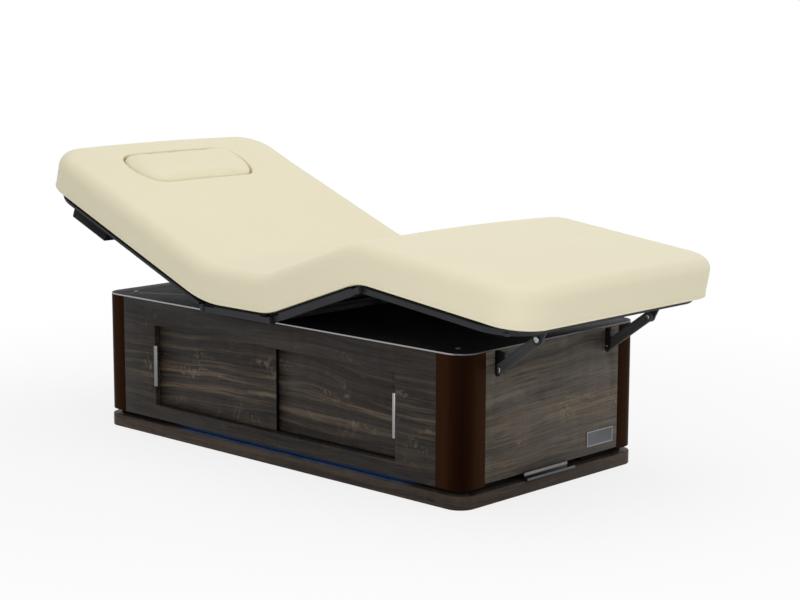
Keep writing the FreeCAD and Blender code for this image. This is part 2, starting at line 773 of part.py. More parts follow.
def make_lift_frame():
    """Channels, open at the top, that carry the deck."""
    half = "beam_width / 2"
    bars = {}
    for side, y in sides(f"beam_y - {half}", f"beam_y + {half}").items():
        bars[f"{side}_beam"] = (("0 - beam_end", "beam_end"), y, "beam_bottom")
    for side, y in sides("screw_y - rib_width / 2", "screw_y + rib_width / 2").items():
        bars[f"{side}_rib"] = (("0 - rib_end", "rib_end"), y, "deck_bottom - rib_height")
    for end, sign in (("head", "0 -"), ("foot", "0 +")):
        bars[f"{end}_cross"] = ((f"{sign} column_x - {half}", f"{sign} column_x + {half}"),
                                ("0 - screw_y", "screw_y"), "beam_bottom")
    for number, start in enumerate(("saddle_one", "saddle_two")):
        bars[f"saddle_{number}"] = ((start, f"{start} + saddle_width"), ("0 - beam_y", "beam_y"),
                                    "saddle_low")
    bars["foot_bar"] = (("bracket_start", "beam_end"), ("0 - bracket_y", "bracket_y"), "beam_bottom")
    outers, tools = [], []
    for name, (x, y, low) in bars.items():
        outers.append(box(name, x, y, (low, "deck_bottom")))
        tools.append(box(name + "_hollow", (f"{x[0]} + beam_wall", f"{x[1]} - beam_wall"),
                         (f"{y[0]} + beam_wall", f"{y[1]} - beam_wall"),
                         (f"{low} + beam_wall", "deck_bottom + overrun")))
    node(cut("lift_frame", fuse("lift_frame_bars", outers), tools))


# Mattress and boards

def pad_outline(shoulder_radius):
    """Cross-section of the mattress in the plane x = 0: drawn-in sides, round shoulders and a crown."""
    top_half = value("mattress_half")
    low_half = top_half - value("side_draw")
    low = value("hinge_drop")
    shoulder = value("mattress_top") - value("crown")
    small, large = value("bottom_radius"), shoulder_radius
    diagonal = 1 - math.cos(math.pi / 4)

    def point(across, up):
        return FreeCAD.Vector(0, across, up)

    edges = []
    for side in (1, -1):
        turns = [
            (point(side * (low_half - small), low),
             point(side * (low_half - small * diagonal), low + small * diagonal),
             point(side * low_half, low + small)),
            (point(side * top_half, shoulder - large),
             point(side * (top_half - large * diagonal), shoulder - large * diagonal),
             point(side * (top_half - large), shoulder)),
        ]
        rise = [Part.Arc(*turns[0]).toShape(), Part.LineSegment(turns[0][2], turns[1][0]).toShape(),
                Part.Arc(*turns[1]).toShape()]
        edges.append(rise)
    top = Part.Arc(point(top_half - large, shoulder), point(0, value("mattress_top")),
                   point(large - top_half, shoulder)).toShape()
    bottom = Part.LineSegment(point(small - low_half, low), point(low_half - small, low)).toShape()
    return Part.Wire([bottom] + edges[0] + [top] + edges[1][::-1])


def straight_pad(start, end):
    outline = pad_outline(value("top_radius"))
    outline.translate(X_AXIS * start)
    return Part.Face(outline).extrude(X_AXIS * (end - start))


def plan_wire(inner, outer, half, radius, height):
    """Outline seen from above: square at the inner end, rounded at the outer end."""
    turn = math.copysign(radius, outer - inner)
    diagonal = 1 - math.cos(math.pi / 4)

    def point(along, across):
        return FreeCAD.Vector(along, across, height)

    arcs = []
    for side in (1, -1):
        arcs.append(Part.Arc(point(outer - turn, side * half),
                             point(outer - turn * diagonal, side * (half - radius * diagonal)),
                             point(outer, side * (half - radius))).toShape())
    ends = [Part.LineSegment(point(inner, half), point(outer - turn, half)).toShape(),
            Part.LineSegment(point(outer, half - radius), point(outer, radius - half)).toShape(),
            Part.LineSegment(point(outer - turn, -half), point(inner, -half)).toShape(),
            Part.LineSegment(point(inner, -half), point(inner, half)).toShape()]
    return Part.Wire([ends[0], arcs[0], ends[1], arcs[1], ends[2], ends[3]])


def end_pad(inner, outer, shoulder_radius):
    """Pad with a rounded outer end: tapered sides, crowned top, rounded edges."""
    draw = value("side_draw")
    low, high = value("hinge_drop"), value("mattress_top")
    towards_outer = math.copysign(1, outer - inner)
    beyond = inner - towards_outer * value("plan_radius")
    bottom = plan_wire(beyond, outer - towards_outer * draw, value("mattress_half") - draw,
                       value("plan_radius") - draw, low)
    top = plan_wire(beyond, outer, value("mattress_half"), value("plan_radius"), high)
    block = Part.makeLoft([bottom, top], True, True)
    shoulder = value("mattress_half") - shoulder_radius
    crown_radius = (shoulder ** 2 + value("crown") ** 2) / (2 * value("crown"))
    crown = Part.makeCylinder(crown_radius, abs(outer - beyond) + 2 * value("overrun"),
                              FreeCAD.Vector(min(beyond, outer) - value("overrun"), 0, high - crown_radius),
                              X_AXIS)
    block = block.common(crown)

    def outside(edge):
        """Whether an edge lies away from the square end, which is cut off below."""
        ends = edge.BoundBox
        return max(abs(ends.XMin - beyond), abs(ends.XMax - beyond)) > value("overrun")

    middle = (low + high) / 2
    upper = [edge for edge in block.Edges if outside(edge) and edge.BoundBox.ZMin > middle]
    block = block.makeFillet(shoulder_radius, upper)
    level = low + value("seat_gap")
    lower = [edge for edge in block.Edges if outside(edge) and edge.BoundBox.ZMax < level]
    block = block.makeFillet(value("bottom_radius"), lower)
    corner = FreeCAD.Vector(min(inner, outer + towards_outer * value("overrun")),
                            -value("mattress_half") - value("overrun"), low - value("overrun"))
    keep = Part.makeBox(abs(outer - inner) + value("overrun"),
                        2 * (value("mattress_half") + value("overrun")),
                        value("mattress_wall") + 2 * value("overrun"), corner)
    return block.common(keep)


def plug_wire(grow, height):
    """Outline of the face cushion in backrest coordinates: straight ends, and one arc along each side."""
    head = -value("plug_head") - grow
    foot = value("plug_length") - value("plug_head") + grow
    wide = value("plug_half") + grow
    head_half, foot_half = value("plug_head_half") + grow, value("plug_foot_half") + grow
    waist = head + (foot - head) * value("plug_waist_share")

    def point(along, across):
        return FreeCAD.Vector(along, across - value("plug_offset"), height)

    head_line = Part.LineSegment(point(head, -head_half), point(head, head_half))
    far_side = Part.Arc(point(head, head_half), point(waist, wide), point(foot, foot_half))
    foot_line = Part.LineSegment(point(foot, foot_half), point(foot, -foot_half))
    near_side = Part.Arc(point(foot, -foot_half), point(waist, -wide), point(head, -head_half))
    return Part.Wire([line.toShape() for line in (head_line, far_side, foot_line, near_side)])


def make_pads():
    back = end_pad(-value("back_bend_half"), -value("back_length"), value("back_top_radius"))
    recess_floor = value("mattress_top") - value("plug_depth") - value("crown")
    recess = Part.Face(plug_wire(value("seat_gap"), recess_floor)).extrude(Z_AXIS * 2 * value("plug_depth"))
    node(formed("back_pad", back.cut(recess)), "back")
    plug_height = value("plug_depth") + value("crown") + value("plug_rise") - value("seat_gap")
    plug = Part.Face(plug_wire(0, recess_floor + value("seat_gap"))).extrude(Z_AXIS * plug_height)
    top_edges = [edge for edge in plug.Edges
                 if edge.BoundBox.ZMin > recess_floor + plug_height - value("seat_gap")]
    node(formed("face_cushion", plug.makeFillet(value("plug_edge"), top_edges)), "back")
    seat = straight_pad(value("back_x") + value("back_bend_half"),
                        value("thigh_x") - value("thigh_bend_half"))
    seat.translate(Z_AXIS * value("hinge_z"))
    node(formed("seat_pad", seat))
    node(formed("thigh_pad", straight_pad(value("thigh_bend_half"),
                                          value("thigh_length") - value("knee_bend_half"))), "thigh")
    node(formed("leg_pad", end_pad(value("knee_bend_half"), value("leg_length"),
                                   value("top_radius"))), "leg")


def bend_pad(axis_x, axis_z, before, after, half, first_radius):
    """Soft stretch between two sections, lofted along a curve from one end face to the other."""
    axis = FreeCAD.Vector(axis_x, 0, axis_z)
    half = half - value("seat_gap")
    start = axis + FreeCAD.Rotation(Y_AXIS, before).multVec(X_AXIS * -half)
    end = axis + FreeCAD.Rotation(Y_AXIS, after).multVec(X_AXIS * half)
    steps = 4
    wires = []
    for step in range(steps + 1):
        share = step / steps
        centre = start * (1 - share) ** 2 + axis * (2 * share * (1 - share)) + end * share ** 2
        slope = (axis - start) * (1 - share) + (end - axis) * share
        angle = -math.degrees(math.atan2(slope.z, slope.x))
        wire = pad_outline(first_radius * (1 - share) + value("top_radius") * share)
        wire.Placement = FreeCAD.Placement(centre, FreeCAD.Rotation(Y_AXIS, angle))
        wires.append(wire)
    return Part.makeLoft(wires, True, False)


def make_bends():
    back, thigh, leg = value("back_tilt"), -value("thigh_tilt"), value("leg_tilt")
    node(formed("back_bend", bend_pad(value("back_x"), value("hinge_z"), back, 0,
                                      value("back_bend_half"), value("back_top_radius"))))
    node(formed("thigh_bend", bend_pad(value("thigh_x"), value("hinge_z"), 0, thigh,
                                       value("thigh_bend_half"), value("top_radius"))))
    node(formed("knee_bend", bend_pad(value("knee_x"), value("knee_z"), thigh, leg,
                                      value("knee_bend_half"), value("top_radius"))))


def make_boards():
    y = ("0 - board_half", "board_half")
    z = ("board_low", "hinge_drop")
    node(slab("back_board", ("board_end - back_length", "0 - board_gap"), y, z,
              "rail_radius", HEAD_CORNERS), "back")
    node(box("seat_board", ("back_x + board_gap", "thigh_x - board_gap"), y,
             ("hinge_z + board_low", "hinge_z + hinge_drop")))
    thigh = box("thigh_board_plate", ("board_gap", "thigh_length - knee_bend_half"), y, z)
    node(group("thigh_board", [thigh]), "thigh")
    node(slab("leg_board", ("knee_bend_half", "leg_length - board_end"), y, z,
              "rail_radius", FOOT_CORNERS), "leg")


# Bed frames

def hinge_ear(label, x, z, reach, band, side):
    """Eye about a hinge axis at x, z with a flat arm that runs to reach, on one side of the bed."""
    low, high = (band if side == "far" else mirrored(*band))
    arm = box(f"{label}_{side}_arm", reach, (low, high), (f"{z} - ear_half", f"{z} + ear_half"))
    eye = rod(f"{label}_{side}_eye", "y", "barrel_radius", (low, high), (x, z))
    bore = rod(f"{label}_{side}_bore", "y", "pin_radius + pin_play",
               (f"{low} - overrun", f"{high} + overrun"), (x, z))
    return [arm, eye], [bore]


OUTER_BAND = ("rail_half - rail_width / 2 + ear_gap / 2", "rail_half")
INNER_BAND = ("rail_inner", "rail_half - rail_width / 2 - ear_gap / 2")


def lever(label, axis_x, axis_z, y, angle, arm_end):
    """Arm from a section's frame, with a slotted tail that an actuator pushes."""
    reach, half, wall = value("lever_reach"), value("lever_half"), value("lever_wall")
    slot_half, slot_reach = value("lever_slot_half"), value("lever_slot_reach")

    def bar(start, end, radius, low, high):
        """Flat bar with round ends that hangs down from start to end."""
        depth = high - low
        block = Part.makeBox(2 * radius, depth, end - start, FreeCAD.Vector(-radius, low, -end))
        for height in (start, end):
            block = block.fuse(Part.makeCylinder(radius, depth, FreeCAD.Vector(0, low, -height), Y_AXIS))
        return block

    tail = bar(0, reach, half, y - wall / 2, y + wall / 2)
    slot = bar(reach - slot_reach, reach + slot_reach, slot_half, y - wall, y + wall)
    tail = tail.cut(slot)
    tail.rotate(FreeCAD.Vector(), Y_AXIS, angle)
    foot = Part.makeBox(abs(arm_end), wall, value("lever_half"),
                        FreeCAD.Vector(min(arm_end, 0), y - wall / 2, -value("ear_half")))
    shape = tail.fuse(foot).removeSplitter()
    shape.translate(FreeCAD.Vector(axis_x, 0, axis_z))
    return formed(label, shape)


def rail_ring(label, inner, outer, low, corners):
    """Two side rails and the rounded end rail of a section, as one bent bar."""
    turn = "+" if corners == HEAD_CORNERS else "-"
    x_outer = (outer, inner) if corners == HEAD_CORNERS else (inner, outer)
    if corners == HEAD_CORNERS:
        x_inner = (f"{outer} {turn} rail_width", f"{inner} + overrun")
    else:
        x_inner = (f"{inner} - overrun", f"{outer} {turn} rail_width")
    whole = slab(label + "_whole", x_outer, ("0 - rail_half", "rail_half"), (low, "board_low"),
                 "rail_radius", corners)
    hollow = slab(label + "_hollow", x_inner, ("0 - rail_inner", "rail_inner"),
                  (f"{low} - overrun", "board_low + overrun"), "rail_radius - rail_width", corners)
    return cut(label, whole, [hollow])


def cross_bars(label, starts, z):
    return [box(f"{label}_cross_{number}", (start, f"{start} + cross_width"),
                ("0 - rail_inner", "rail_inner"), z) for number, start in enumerate(starts)]


def finish_frame(label, parts, bores, section=None):
    node(cut(label, fuse(label + "_parts", parts), bores), section)


def make_back_frame():
    low = "board_low - back_rail"
    parts = [rail_ring("back_ring", "0 - back_rail_gap", "rail_end_inset - back_length", low, HEAD_CORNERS)]
    parts += cross_bars("back", ("0 - back_length * back_head_cross_share",
                                 "0 - back_length * back_middle_cross_share",
                                 "0 - back_rail_gap - cross_width"), (low, "board_low"))
    parts.append(lever("back_lever", 0, 0, -value("lever_y"), -value("back_lever_middle"),
                       -value("back_rail_gap") - value("cross_width")))
    bores = []
    for side in ("near", "far"):
        solid, bore = hinge_ear("back", "0", "0", ("0 - back_rail_gap - overrun", "0"), INNER_BAND, side)
        parts += solid
        bores += bore
    finish_frame("back_frame", parts, bores, "back")


def make_thigh_frame():
    low = "board_low - thigh_rail"
    start, end = "thigh_rail_gap", "thigh_length - knee_rail_gap"
    parts = [box(f"thigh_{side}_rail", (start, end), y, (low, "board_low"))
             for side, y in sides("rail_inner", "rail_half").items()]
    parts += cross_bars("thigh", (start, f"({start} + {end}) / 2", f"{end} - cross_width"),
                        ("board_low - back_rail", "board_low"))
    parts.append(lever("thigh_lever", 0, 0, value("lever_y"), value("thigh_lever_middle"),
                       value("thigh_rail_gap") + value("cross_width")))
    bores = []
    for side in ("near", "far"):
        for name, x, reach, band in (("thigh_seat", "0", ("0", f"{start} + overrun"), INNER_BAND),
                                     ("thigh_knee", "thigh_length", (f"{end} - overrun", "thigh_length"),
                                      OUTER_BAND)):
            solid, bore = hinge_ear(name, x, "0", reach, band, side)
            parts += solid
            bores += bore
    finish_frame("thigh_frame", parts, bores, "thigh")


def lug(label, side):
    """Plate under the leg frame that the foot link pivots on."""
    along, drop = value("pivot_along"), value("pivot_drop")
    top = value("board_low") - value("leg_rail")
    half = value("lug_half")
    corners = [(value("lug_start"), top), (value("lug_end"), top),
               (along + half, -drop), (along - half, -drop)]
    points = [FreeCAD.Vector(x, 0, z) for x, z in corners]
    shape = Part.Face(Part.makePolygon(points + points[:1])).extrude(Y_AXIS * value("lug_wall"))
    shape = shape.fuse(Part.makeCylinder(half, value("lug_wall"), FreeCAD.Vector(along, 0, -drop), Y_AXIS))
    shape = shape.cut(Part.makeCylinder(value("lug_hole_radius"), 3 * value("lug_wall"),
                                        FreeCAD.Vector(along, -value("lug_wall"), -drop), Y_AXIS))
    low = value("lug_y") if side == "far" else -value("lug_y") - value("lug_wall")
    shape.translate(Y_AXIS * low)
    return formed(label, shape.removeSplitter())


def make_leg_frame():
    low = "board_low - leg_rail"
    start = "leg_rail_gap"
    parts = [rail_ring("leg_ring", start, "leg_length - leg_end_inset", low, FOOT_CORNERS)]
    parts += cross_bars("leg", (start, "leg_length * leg_cross_share"), (low, "board_low"))
    parts.append(box("leg_lug_bar", ("lug_start", "lug_end"), ("0 - rail_inner", "rail_inner"),
                     (low, "board_low - leg_rail + back_rail")))
    bores = []
    for side in ("near", "far"):
        parts.append(lug(f"leg_{side}_lug", side))
        solid, bore = hinge_ear("leg", "0", "0", ("0", f"{start} + overrun"), INNER_BAND, side)
        parts += solid
        bores += bore
    finish_frame("leg_frame", parts, bores, "leg")


def make_seat_frame():
    low, high = "hinge_z + board_low - seat_rail", "hinge_z + board_low"
    start, end = "back_x + seat_rail_start", "thigh_x - seat_rail_gap"
    parts = [box(f"seat_{side}_rail", (start, end), y, (low, high))
             for side, y in sides("rail_inner", "rail_half").items()]
    parts += cross_bars("seat", (start, f"{end} - cross_width"), ("deck_top", high))
    bores = []
    for side in ("near", "far"):
        for name, x, reach in (("seat_back", "back_x", ("back_x", f"{start} + overrun")),
                               ("seat_thigh", "thigh_x", (f"{end} - overrun", "thigh_x"))):
            solid, bore = hinge_ear(name, x, "hinge_z", reach, OUTER_BAND, side)
            parts += solid
            bores += bore
    finish_frame("seat_frame", parts, bores)


def hinge_pin(label, x, z, side):
    """Pin through both eyes, with its head outside."""
    shank = ("rail_inner", "rail_half + seat_gap")
    head = ("rail_half + seat_gap", "rail_half + seat_gap + pin_head")
    if side == "near":
        shank, head = mirrored(*shank), mirrored(*head)
    return fuse(label, [rod(label + "_shank", "y", "pin_radius", shank, (x, z)),
                        rod(label + "_head", "y", "pin_head_radius", head, (x, z))])


def make_pins():
    for name, axes in (("seat_pins", (("back_x", "hinge_z"), ("thigh_x", "hinge_z"))),
                       ("knee_pins", (("knee_x", "knee_z"),))):
        pins = []
        for number, (x, z) in enumerate(axes):
            pins += [hinge_pin(f"{name}_{side}_{number}", x, z, side) for side in ("near", "far")]
        node(group(name, pins))


def make_head_box():
    whole = box("head_box_case", ("0 - head_box_end", "0 - head_box_start"),
                ("0 - rail_half", "head_box_width - rail_half"),
                ("board_low - back_rail - head_box_height", "board_low - back_rail"))
    node(group("head_box", [whole]), "back")


# Actuators

def make_actuator(name, y_sign, pin_x, away, space):
    """Linear actuator: a rod with a fork on its lever pin, in a housing with its motor beside it."""
    y = f"({y_sign} * lever_y)"
    toward = "+" if away > 0 else "-"

    def span(first, second):
        """Span from pin_x, measured away from the lever."""
        ends = (f"{pin_x} {toward} ({first})", f"{pin_x} {toward} ({second})")
        return ends if away > 0 else ends[::-1]

    cheek = "(lever_wall / 2 + fork_gap)"
    z = ("rod_z - fork_half", "rod_z + fork_half")
    parts = []
    for side, (low, high) in sides(cheek, f"{cheek} + fork_wall").items():
        parts.append(box(f"{name}_{side}_cheek", span("0 - fork_half", "fork_reach + fork_web"),
                         (f"{y} + {low}", f"{y} + {high}"), z))
    parts.append(box(f"{name}_web", span("fork_reach", "fork_reach + fork_web"),
                     (f"{y} - {cheek} - fork_wall", f"{y} + {cheek} + fork_wall"), z))
    parts.append(rod(f"{name}_pin", "y", "pin_radius",
                     (f"{y} - {cheek} - fork_wall", f"{y} + {cheek} + fork_wall"), (pin_x, "rod_z")))
    parts.append(rod(f"{name}_shaft", "x", "rod_radius",
                     span("fork_reach + fork_web", "fork_reach + fork_web + rod_length"), (y, "rod_z")))
    node(fuse(f"{name}_rod", parts))
    front = f"fork_reach + fork_web + {space}"
    width = (f"{y} - drive_half_width", f"{y} + drive_half_width")
    height = ("rod_z - drive_half_height", "rod_z + drive_half_height")
    case = box(f"{name}_case", span(front, f"{front} + drive_length"), width, height)
    motor_y = f"({y} - {y_sign} * motor_offset)"
    gear = box(f"{name}_gear_case", span(f"{front} + drive_length", f"{front} + drive_length + gear_case"),
               (f"({y} + {motor_y}) / 2 - motor_offset / 2 - motor_radius",
                f"({y} + {motor_y}) / 2 + motor_offset / 2 + motor_radius"), height)
    motor = rod(f"{name}_motor", "x", "motor_radius",
                span(f"{front} + drive_length - motor_length", f"{front} + drive_length"),
                (motor_y, "rod_z"))
    bore = rod(f"{name}_case_bore", "x", "rod_radius + rod_play",
               span(f"{front} - overrun", f"{front} + drive_length - drive_end_wall"), (y, "rod_z"))
    node(cut(f"{name}_actuator", fuse(f"{name}_drive", [case, gear, motor]), [bore]))


def make_actuators():
    make_actuator("back", -1, "back_pin_x", 1, "back_rod_space")
    make_actuator("leg", 1, "leg_pin_x", -1, "leg_rod_space")


# Foot linkage

def link_shape(low, high):
    """Flat bar with round, drilled ends from the bracket pivot to the leg frame pivot."""
    lower = FreeCAD.Vector(value("link_x"), low, value("link_z"))
    upper = FreeCAD.Vector(value("pivot_x"), low, value("pivot_z"))
    half, wall = value("link_half"), high - low
    length = (upper - lower).Length
    bar = Part.makeBox(length, wall, 2 * half, FreeCAD.Vector(0, 0, -half))
    angle = -math.degrees(math.atan2(upper.z - lower.z, upper.x - lower.x))
    bar.Placement = FreeCAD.Placement(lower, FreeCAD.Rotation(Y_AXIS, angle))
    for centre in (lower, upper):
        bar = bar.fuse(Part.makeCylinder(half, wall, centre, Y_AXIS))
    for centre in (lower, upper):
        drill = Part.makeCylinder(value("bolt_radius") + value("bolt_play"), 3 * wall,
                                  centre - Y_AXIS * wall, Y_AXIS)
        bar = bar.cut(drill)
    return bar.removeSplitter()


def make_linkage():
    links, brackets, bolts = [], [], []
    for side, sign in (("near", -1), ("far", 1)):
        low, high = value("link_y"), value("link_y") + value("link_wall")
        if sign < 0:
            low, high = -high, -low
        links.append(formed(f"{side}_link_arm", link_shape(low, high)))

        def span(first, second):
            return (first, second) if sign > 0 else mirrored(first, second)

        plate = box(f"{side}_bracket_plate", ("bracket_start", "bracket_end"),
                    span("bracket_y", "bracket_y + bracket_wall"), ("bracket_low", "bracket_high"))
        hole = rod(f"{side}_bracket_hole", "y", "bolt_radius + bolt_play",
                   span("bracket_y - overrun", "bracket_y + bracket_wall + overrun"), ("link_x", "link_z"))
        brackets.append(cut(f"{side}_bracket", plate, [hole]))
        lower = ("link_x", "link_z")
        upper = ("pivot_x", "pivot_z")
        bolts.append(fuse(f"{side}_lower_bolt", [
            rod(f"{side}_lower_shank", "y", "bolt_radius", span("bracket_y", "link_y + link_wall"), lower),
            rod(f"{side}_lower_head", "y", "bolt_head_radius",
                span("link_y + link_wall", "link_y + link_wall + bolt_head"), lower)]))
        bolts.append(fuse(f"{side}_upper_bolt", [
            rod(f"{side}_upper_nut", "y", "nut_radius", span("link_y - nut_wall", "link_y"), upper),
            rod(f"{side}_upper_shank", "y", "bolt_radius",
                span("link_y", "lug_y + lug_wall + seat_gap"), upper),
            rod(f"{side}_upper_head", "y", "bolt_small_radius",
                span("lug_y + lug_wall + seat_gap", "lug_y + lug_wall + seat_gap + bolt_head"), upper)]))
    node(links[0])
    node(links[1])
    node(group("foot_brackets", brackets))
    node(group("link_bolts", bolts))


def check_and_export():
    doc.recompute()
    for feature in doc.Objects:
        if "Invalid" in feature.State or "Error" in feature.State:
            raise RuntimeError(f"{feature.Label} failed: {feature.State}")
    os.makedirs("parts", exist_ok=True)
    for label, feature in nodes.items():
        shape = feature.Shape
        if shape.isNull() or not shape.isValid() or not shape.Solids:
            raise RuntimeError(f"{label} has no valid shape")
        shape.exportStep(f"parts/{label}.step")
    print(f"{len(nodes)} pieces exported")


for make in (make_plinth, make_band, make_floor, make_side_panels, make_end_panels, make_posts,
             make_storage, make_doors, make_fittings, make_pedals, make_columns, make_deck,
             make_lift_frame, make_pads, make_bends, make_boards, make_back_frame, make_thigh_frame,
             make_leg_frame, make_seat_frame, make_pins, make_head_box, make_actuators, make_linkage):
    make()
check_and_export()
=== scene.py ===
import json
import math

import bmesh
import bpy
from mathutils import Matrix, Vector


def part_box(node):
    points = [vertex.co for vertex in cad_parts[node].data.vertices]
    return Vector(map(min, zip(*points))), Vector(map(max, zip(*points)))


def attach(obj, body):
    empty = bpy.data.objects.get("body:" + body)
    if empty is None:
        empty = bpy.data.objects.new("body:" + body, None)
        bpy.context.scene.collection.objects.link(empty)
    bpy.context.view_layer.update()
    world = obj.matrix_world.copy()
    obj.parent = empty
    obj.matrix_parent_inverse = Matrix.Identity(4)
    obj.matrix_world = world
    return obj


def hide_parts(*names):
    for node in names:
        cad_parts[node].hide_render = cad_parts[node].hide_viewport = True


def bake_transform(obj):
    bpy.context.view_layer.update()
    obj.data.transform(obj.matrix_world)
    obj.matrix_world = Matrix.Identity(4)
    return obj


# A spa bed: continuous mattress over four hinged sections, on a deck above a wooden cabinet.
# Metres, in the frame of the CAD model: +X to the foot end, -Y to the door side, +Z up.

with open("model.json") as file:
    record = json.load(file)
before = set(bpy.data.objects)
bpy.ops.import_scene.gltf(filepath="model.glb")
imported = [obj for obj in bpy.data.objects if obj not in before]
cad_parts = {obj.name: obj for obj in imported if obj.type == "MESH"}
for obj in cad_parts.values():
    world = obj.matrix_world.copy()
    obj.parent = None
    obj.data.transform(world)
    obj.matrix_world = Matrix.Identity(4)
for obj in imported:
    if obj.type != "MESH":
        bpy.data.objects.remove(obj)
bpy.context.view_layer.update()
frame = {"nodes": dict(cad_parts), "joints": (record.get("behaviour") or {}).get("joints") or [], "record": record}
nodes = frame["nodes"]
body_of_node = {node: body for body, members in frame["record"]["behaviour"]["bodies"].items()
                for node in members}
slot_of_node = {row["node"]: row["material_slot"] for row in frame["record"]["subparts"]}
hinges = {joint["name"]: Vector(joint["pos_m"]) for joint in frame["joints"] if "pos_m" in joint}

# Mattress: cross-section, plan and the stretches that bend
HALF_WIDTH = 0.420
BOTTOM = 0.016
SHOULDER = 0.1235
CROWN = 0.007
SIDE_DRAW = 0.004
TOP_RADIUS, BACK_TOP_RADIUS, HEAD_TOP_RADIUS = 0.034, 0.042, 0.036
HEM_RADIUS, HEM_LIFT, HEM_HEIGHT = 0.0022, 0.0022, 0.0080
HEM_TURN = math.radians(150)
HEM_TURN_IN = 0.0060
HEM_BULGE_SHARE = 0.55
SEAM_INSET, SEAM_DROP = 0.0003, 0.0006
PLAN_RADIUS = 0.105
BACK_LENGTH = 0.797
LEG_LENGTH = 0.554
THIGH_LENGTH = 0.3597
BACK_TILT, THIGH_TILT, LEG_TILT = 21.8, -19.72, 6.8
BACK_BEND, THIGH_BEND, KNEE_BEND = 0.078, 0.045, 0.030
COLUMNS = 36
STATION_STEP = 0.022
HEAD_STATIONS = 5
BEND_STEPS = 12
CORNER_STEPS = 12
TOP_STEPS = 10
SIDE_STEPS = 5
HEM_STEPS = 6

# Face cushion, in the backrest's own coordinates
CUSHION_HEAD = -0.705
CUSHION_FOOT = -0.513
CUSHION_MIDDLE = -0.011
CUSHION_HEAD_HALF = 0.165
CUSHION_FOOT_HALF = 0.155
CUSHION_HALF = 0.225
CUSHION_NEAR_WAIST, CUSHION_FAR_WAIST = 0.46, 0.33
CUSHION_DEPTH = 0.060
CUSHION_PLAY = 0.001
CUSHION_ROUNDNESS = 2.4
CUSHION_SIDE_STEPS, CUSHION_END_STEPS = 48, 24
OUTLINE_SMOOTHINGS = 10

# The recess: how far its rings start from the outline, then outset and drop of each ring down into it
RECESS_HEAD_MARGIN, RECESS_FOOT_MARGIN, RECESS_SIDE_MARGIN = 0.012, 0.022, 0.048
RECESS_APPROACH = 0.012
RECESS_APPROACH_SHARES = (0.4, 0.75)
RECESS_EDGE = ((0.010, -0.0002), (0.006, -0.0008), (0.003, -0.0020), (0.0012, -0.0042), (0.0004, -0.0090),
               (0.0004, -CUSHION_DEPTH))

# The cushion's cover: outset and rise above the shoulder of each ring over its floor, and its simulation
COVER_FLOOR = SHOULDER - CUSHION_DEPTH + CUSHION_PLAY
COVER_PROFILE = ((-0.0016, -0.0300), (-0.0018, -0.0170), (-0.0026, -0.0100), (-0.0056, -0.0056),
                 (-0.0112, -0.0018), (-0.0190, 0.0022), (-0.0290, 0.0062), (-0.0430, 0.0094),
                 (-0.0600, 0.0108))
COVER_CROWN_DROP = 0.02
COVER_COLUMNS = 96
COVER_ROOM = 0.0009
COVER_DIRECTIONS = 720
COVER_VOXEL = 0.005
COVER_SWELL = 0.005
COVER_FRAMES = 20
COVER_QUALITY, COVER_MASS, COVER_PRESSURE = 5, 0.3, 4.0
COVER_RELAX, COVER_LAST_RELAX = 6, 3
RELAX_FACTOR = 0.5
WELT_OUTSET, WELT_DROP, WELT_RADIUS = -0.0016, 0.016, 0.0012
WELT_COLUMNS, WELT_SIDES = 160, 8

# Angles up to which faces are shaded as one surface, in degrees
EASED_SMOOTH, MATTRESS_SMOOTH, COVER_SMOOTH = 35, 50, 60

# Details that only colour shows: the lit strip and its glow, the height of the veneer's gold streaks,
# the trim's painted highlight along its door side, the plate's rim and the pedals' top plates
(LIGHT_START, _, LIGHT_BOTTOM), (LIGHT_END, LIGHT_FACE, LIGHT_TOP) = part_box("light_strips")
_, PLINTH_EDGE, PLINTH_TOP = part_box("plinth")[1]
(_, _, PANEL_BOTTOM), (_, _, PANEL_TOP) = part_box("near_panel")
GOLD_DROP = 0.02
GOLD_HEIGHT = (PANEL_BOTTOM + PANEL_TOP) / 2 - GOLD_DROP
TRIM_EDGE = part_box("deck_trim")[0][1]
# How far in from its door-side edge the trim's painted highlight reaches
TRIM_HIGHLIGHT = 0.007
LIGHT_FADE = 0.090
GLOW_BLUR = (-0.0005, -0.0001)
PLATE_RIM = 0.003
PLATE_BLUR = (-0.0006, 0.0004)
PEDAL_PLATE = 0.008
PEDAL_BLUR = 0.0008

# Camera at the photograph's angle
CAMERA_PLACE = Vector((3.7985, -3.8502, 1.3182))
CAMERA_YAW, CAMERA_PITCH, CAMERA_ROLL = math.radians(43.415), math.radians(9.449), math.radians(0.157)
CAMERA_LENS, CAMERA_SENSOR = 85.68, 36

# Studio: the sky's strength off the camera's view, and the floor's shadow zone that fades to plain white
SKY_STRENGTH = 0.66
FLOOR_RADIUS, FLOOR_DROP = 30, 0.0005
SHADOW_NEAR, SHADOW_FAR, SHADOW_WHITE_SHARE = 0.9, 2.6, 0.80


# Materials

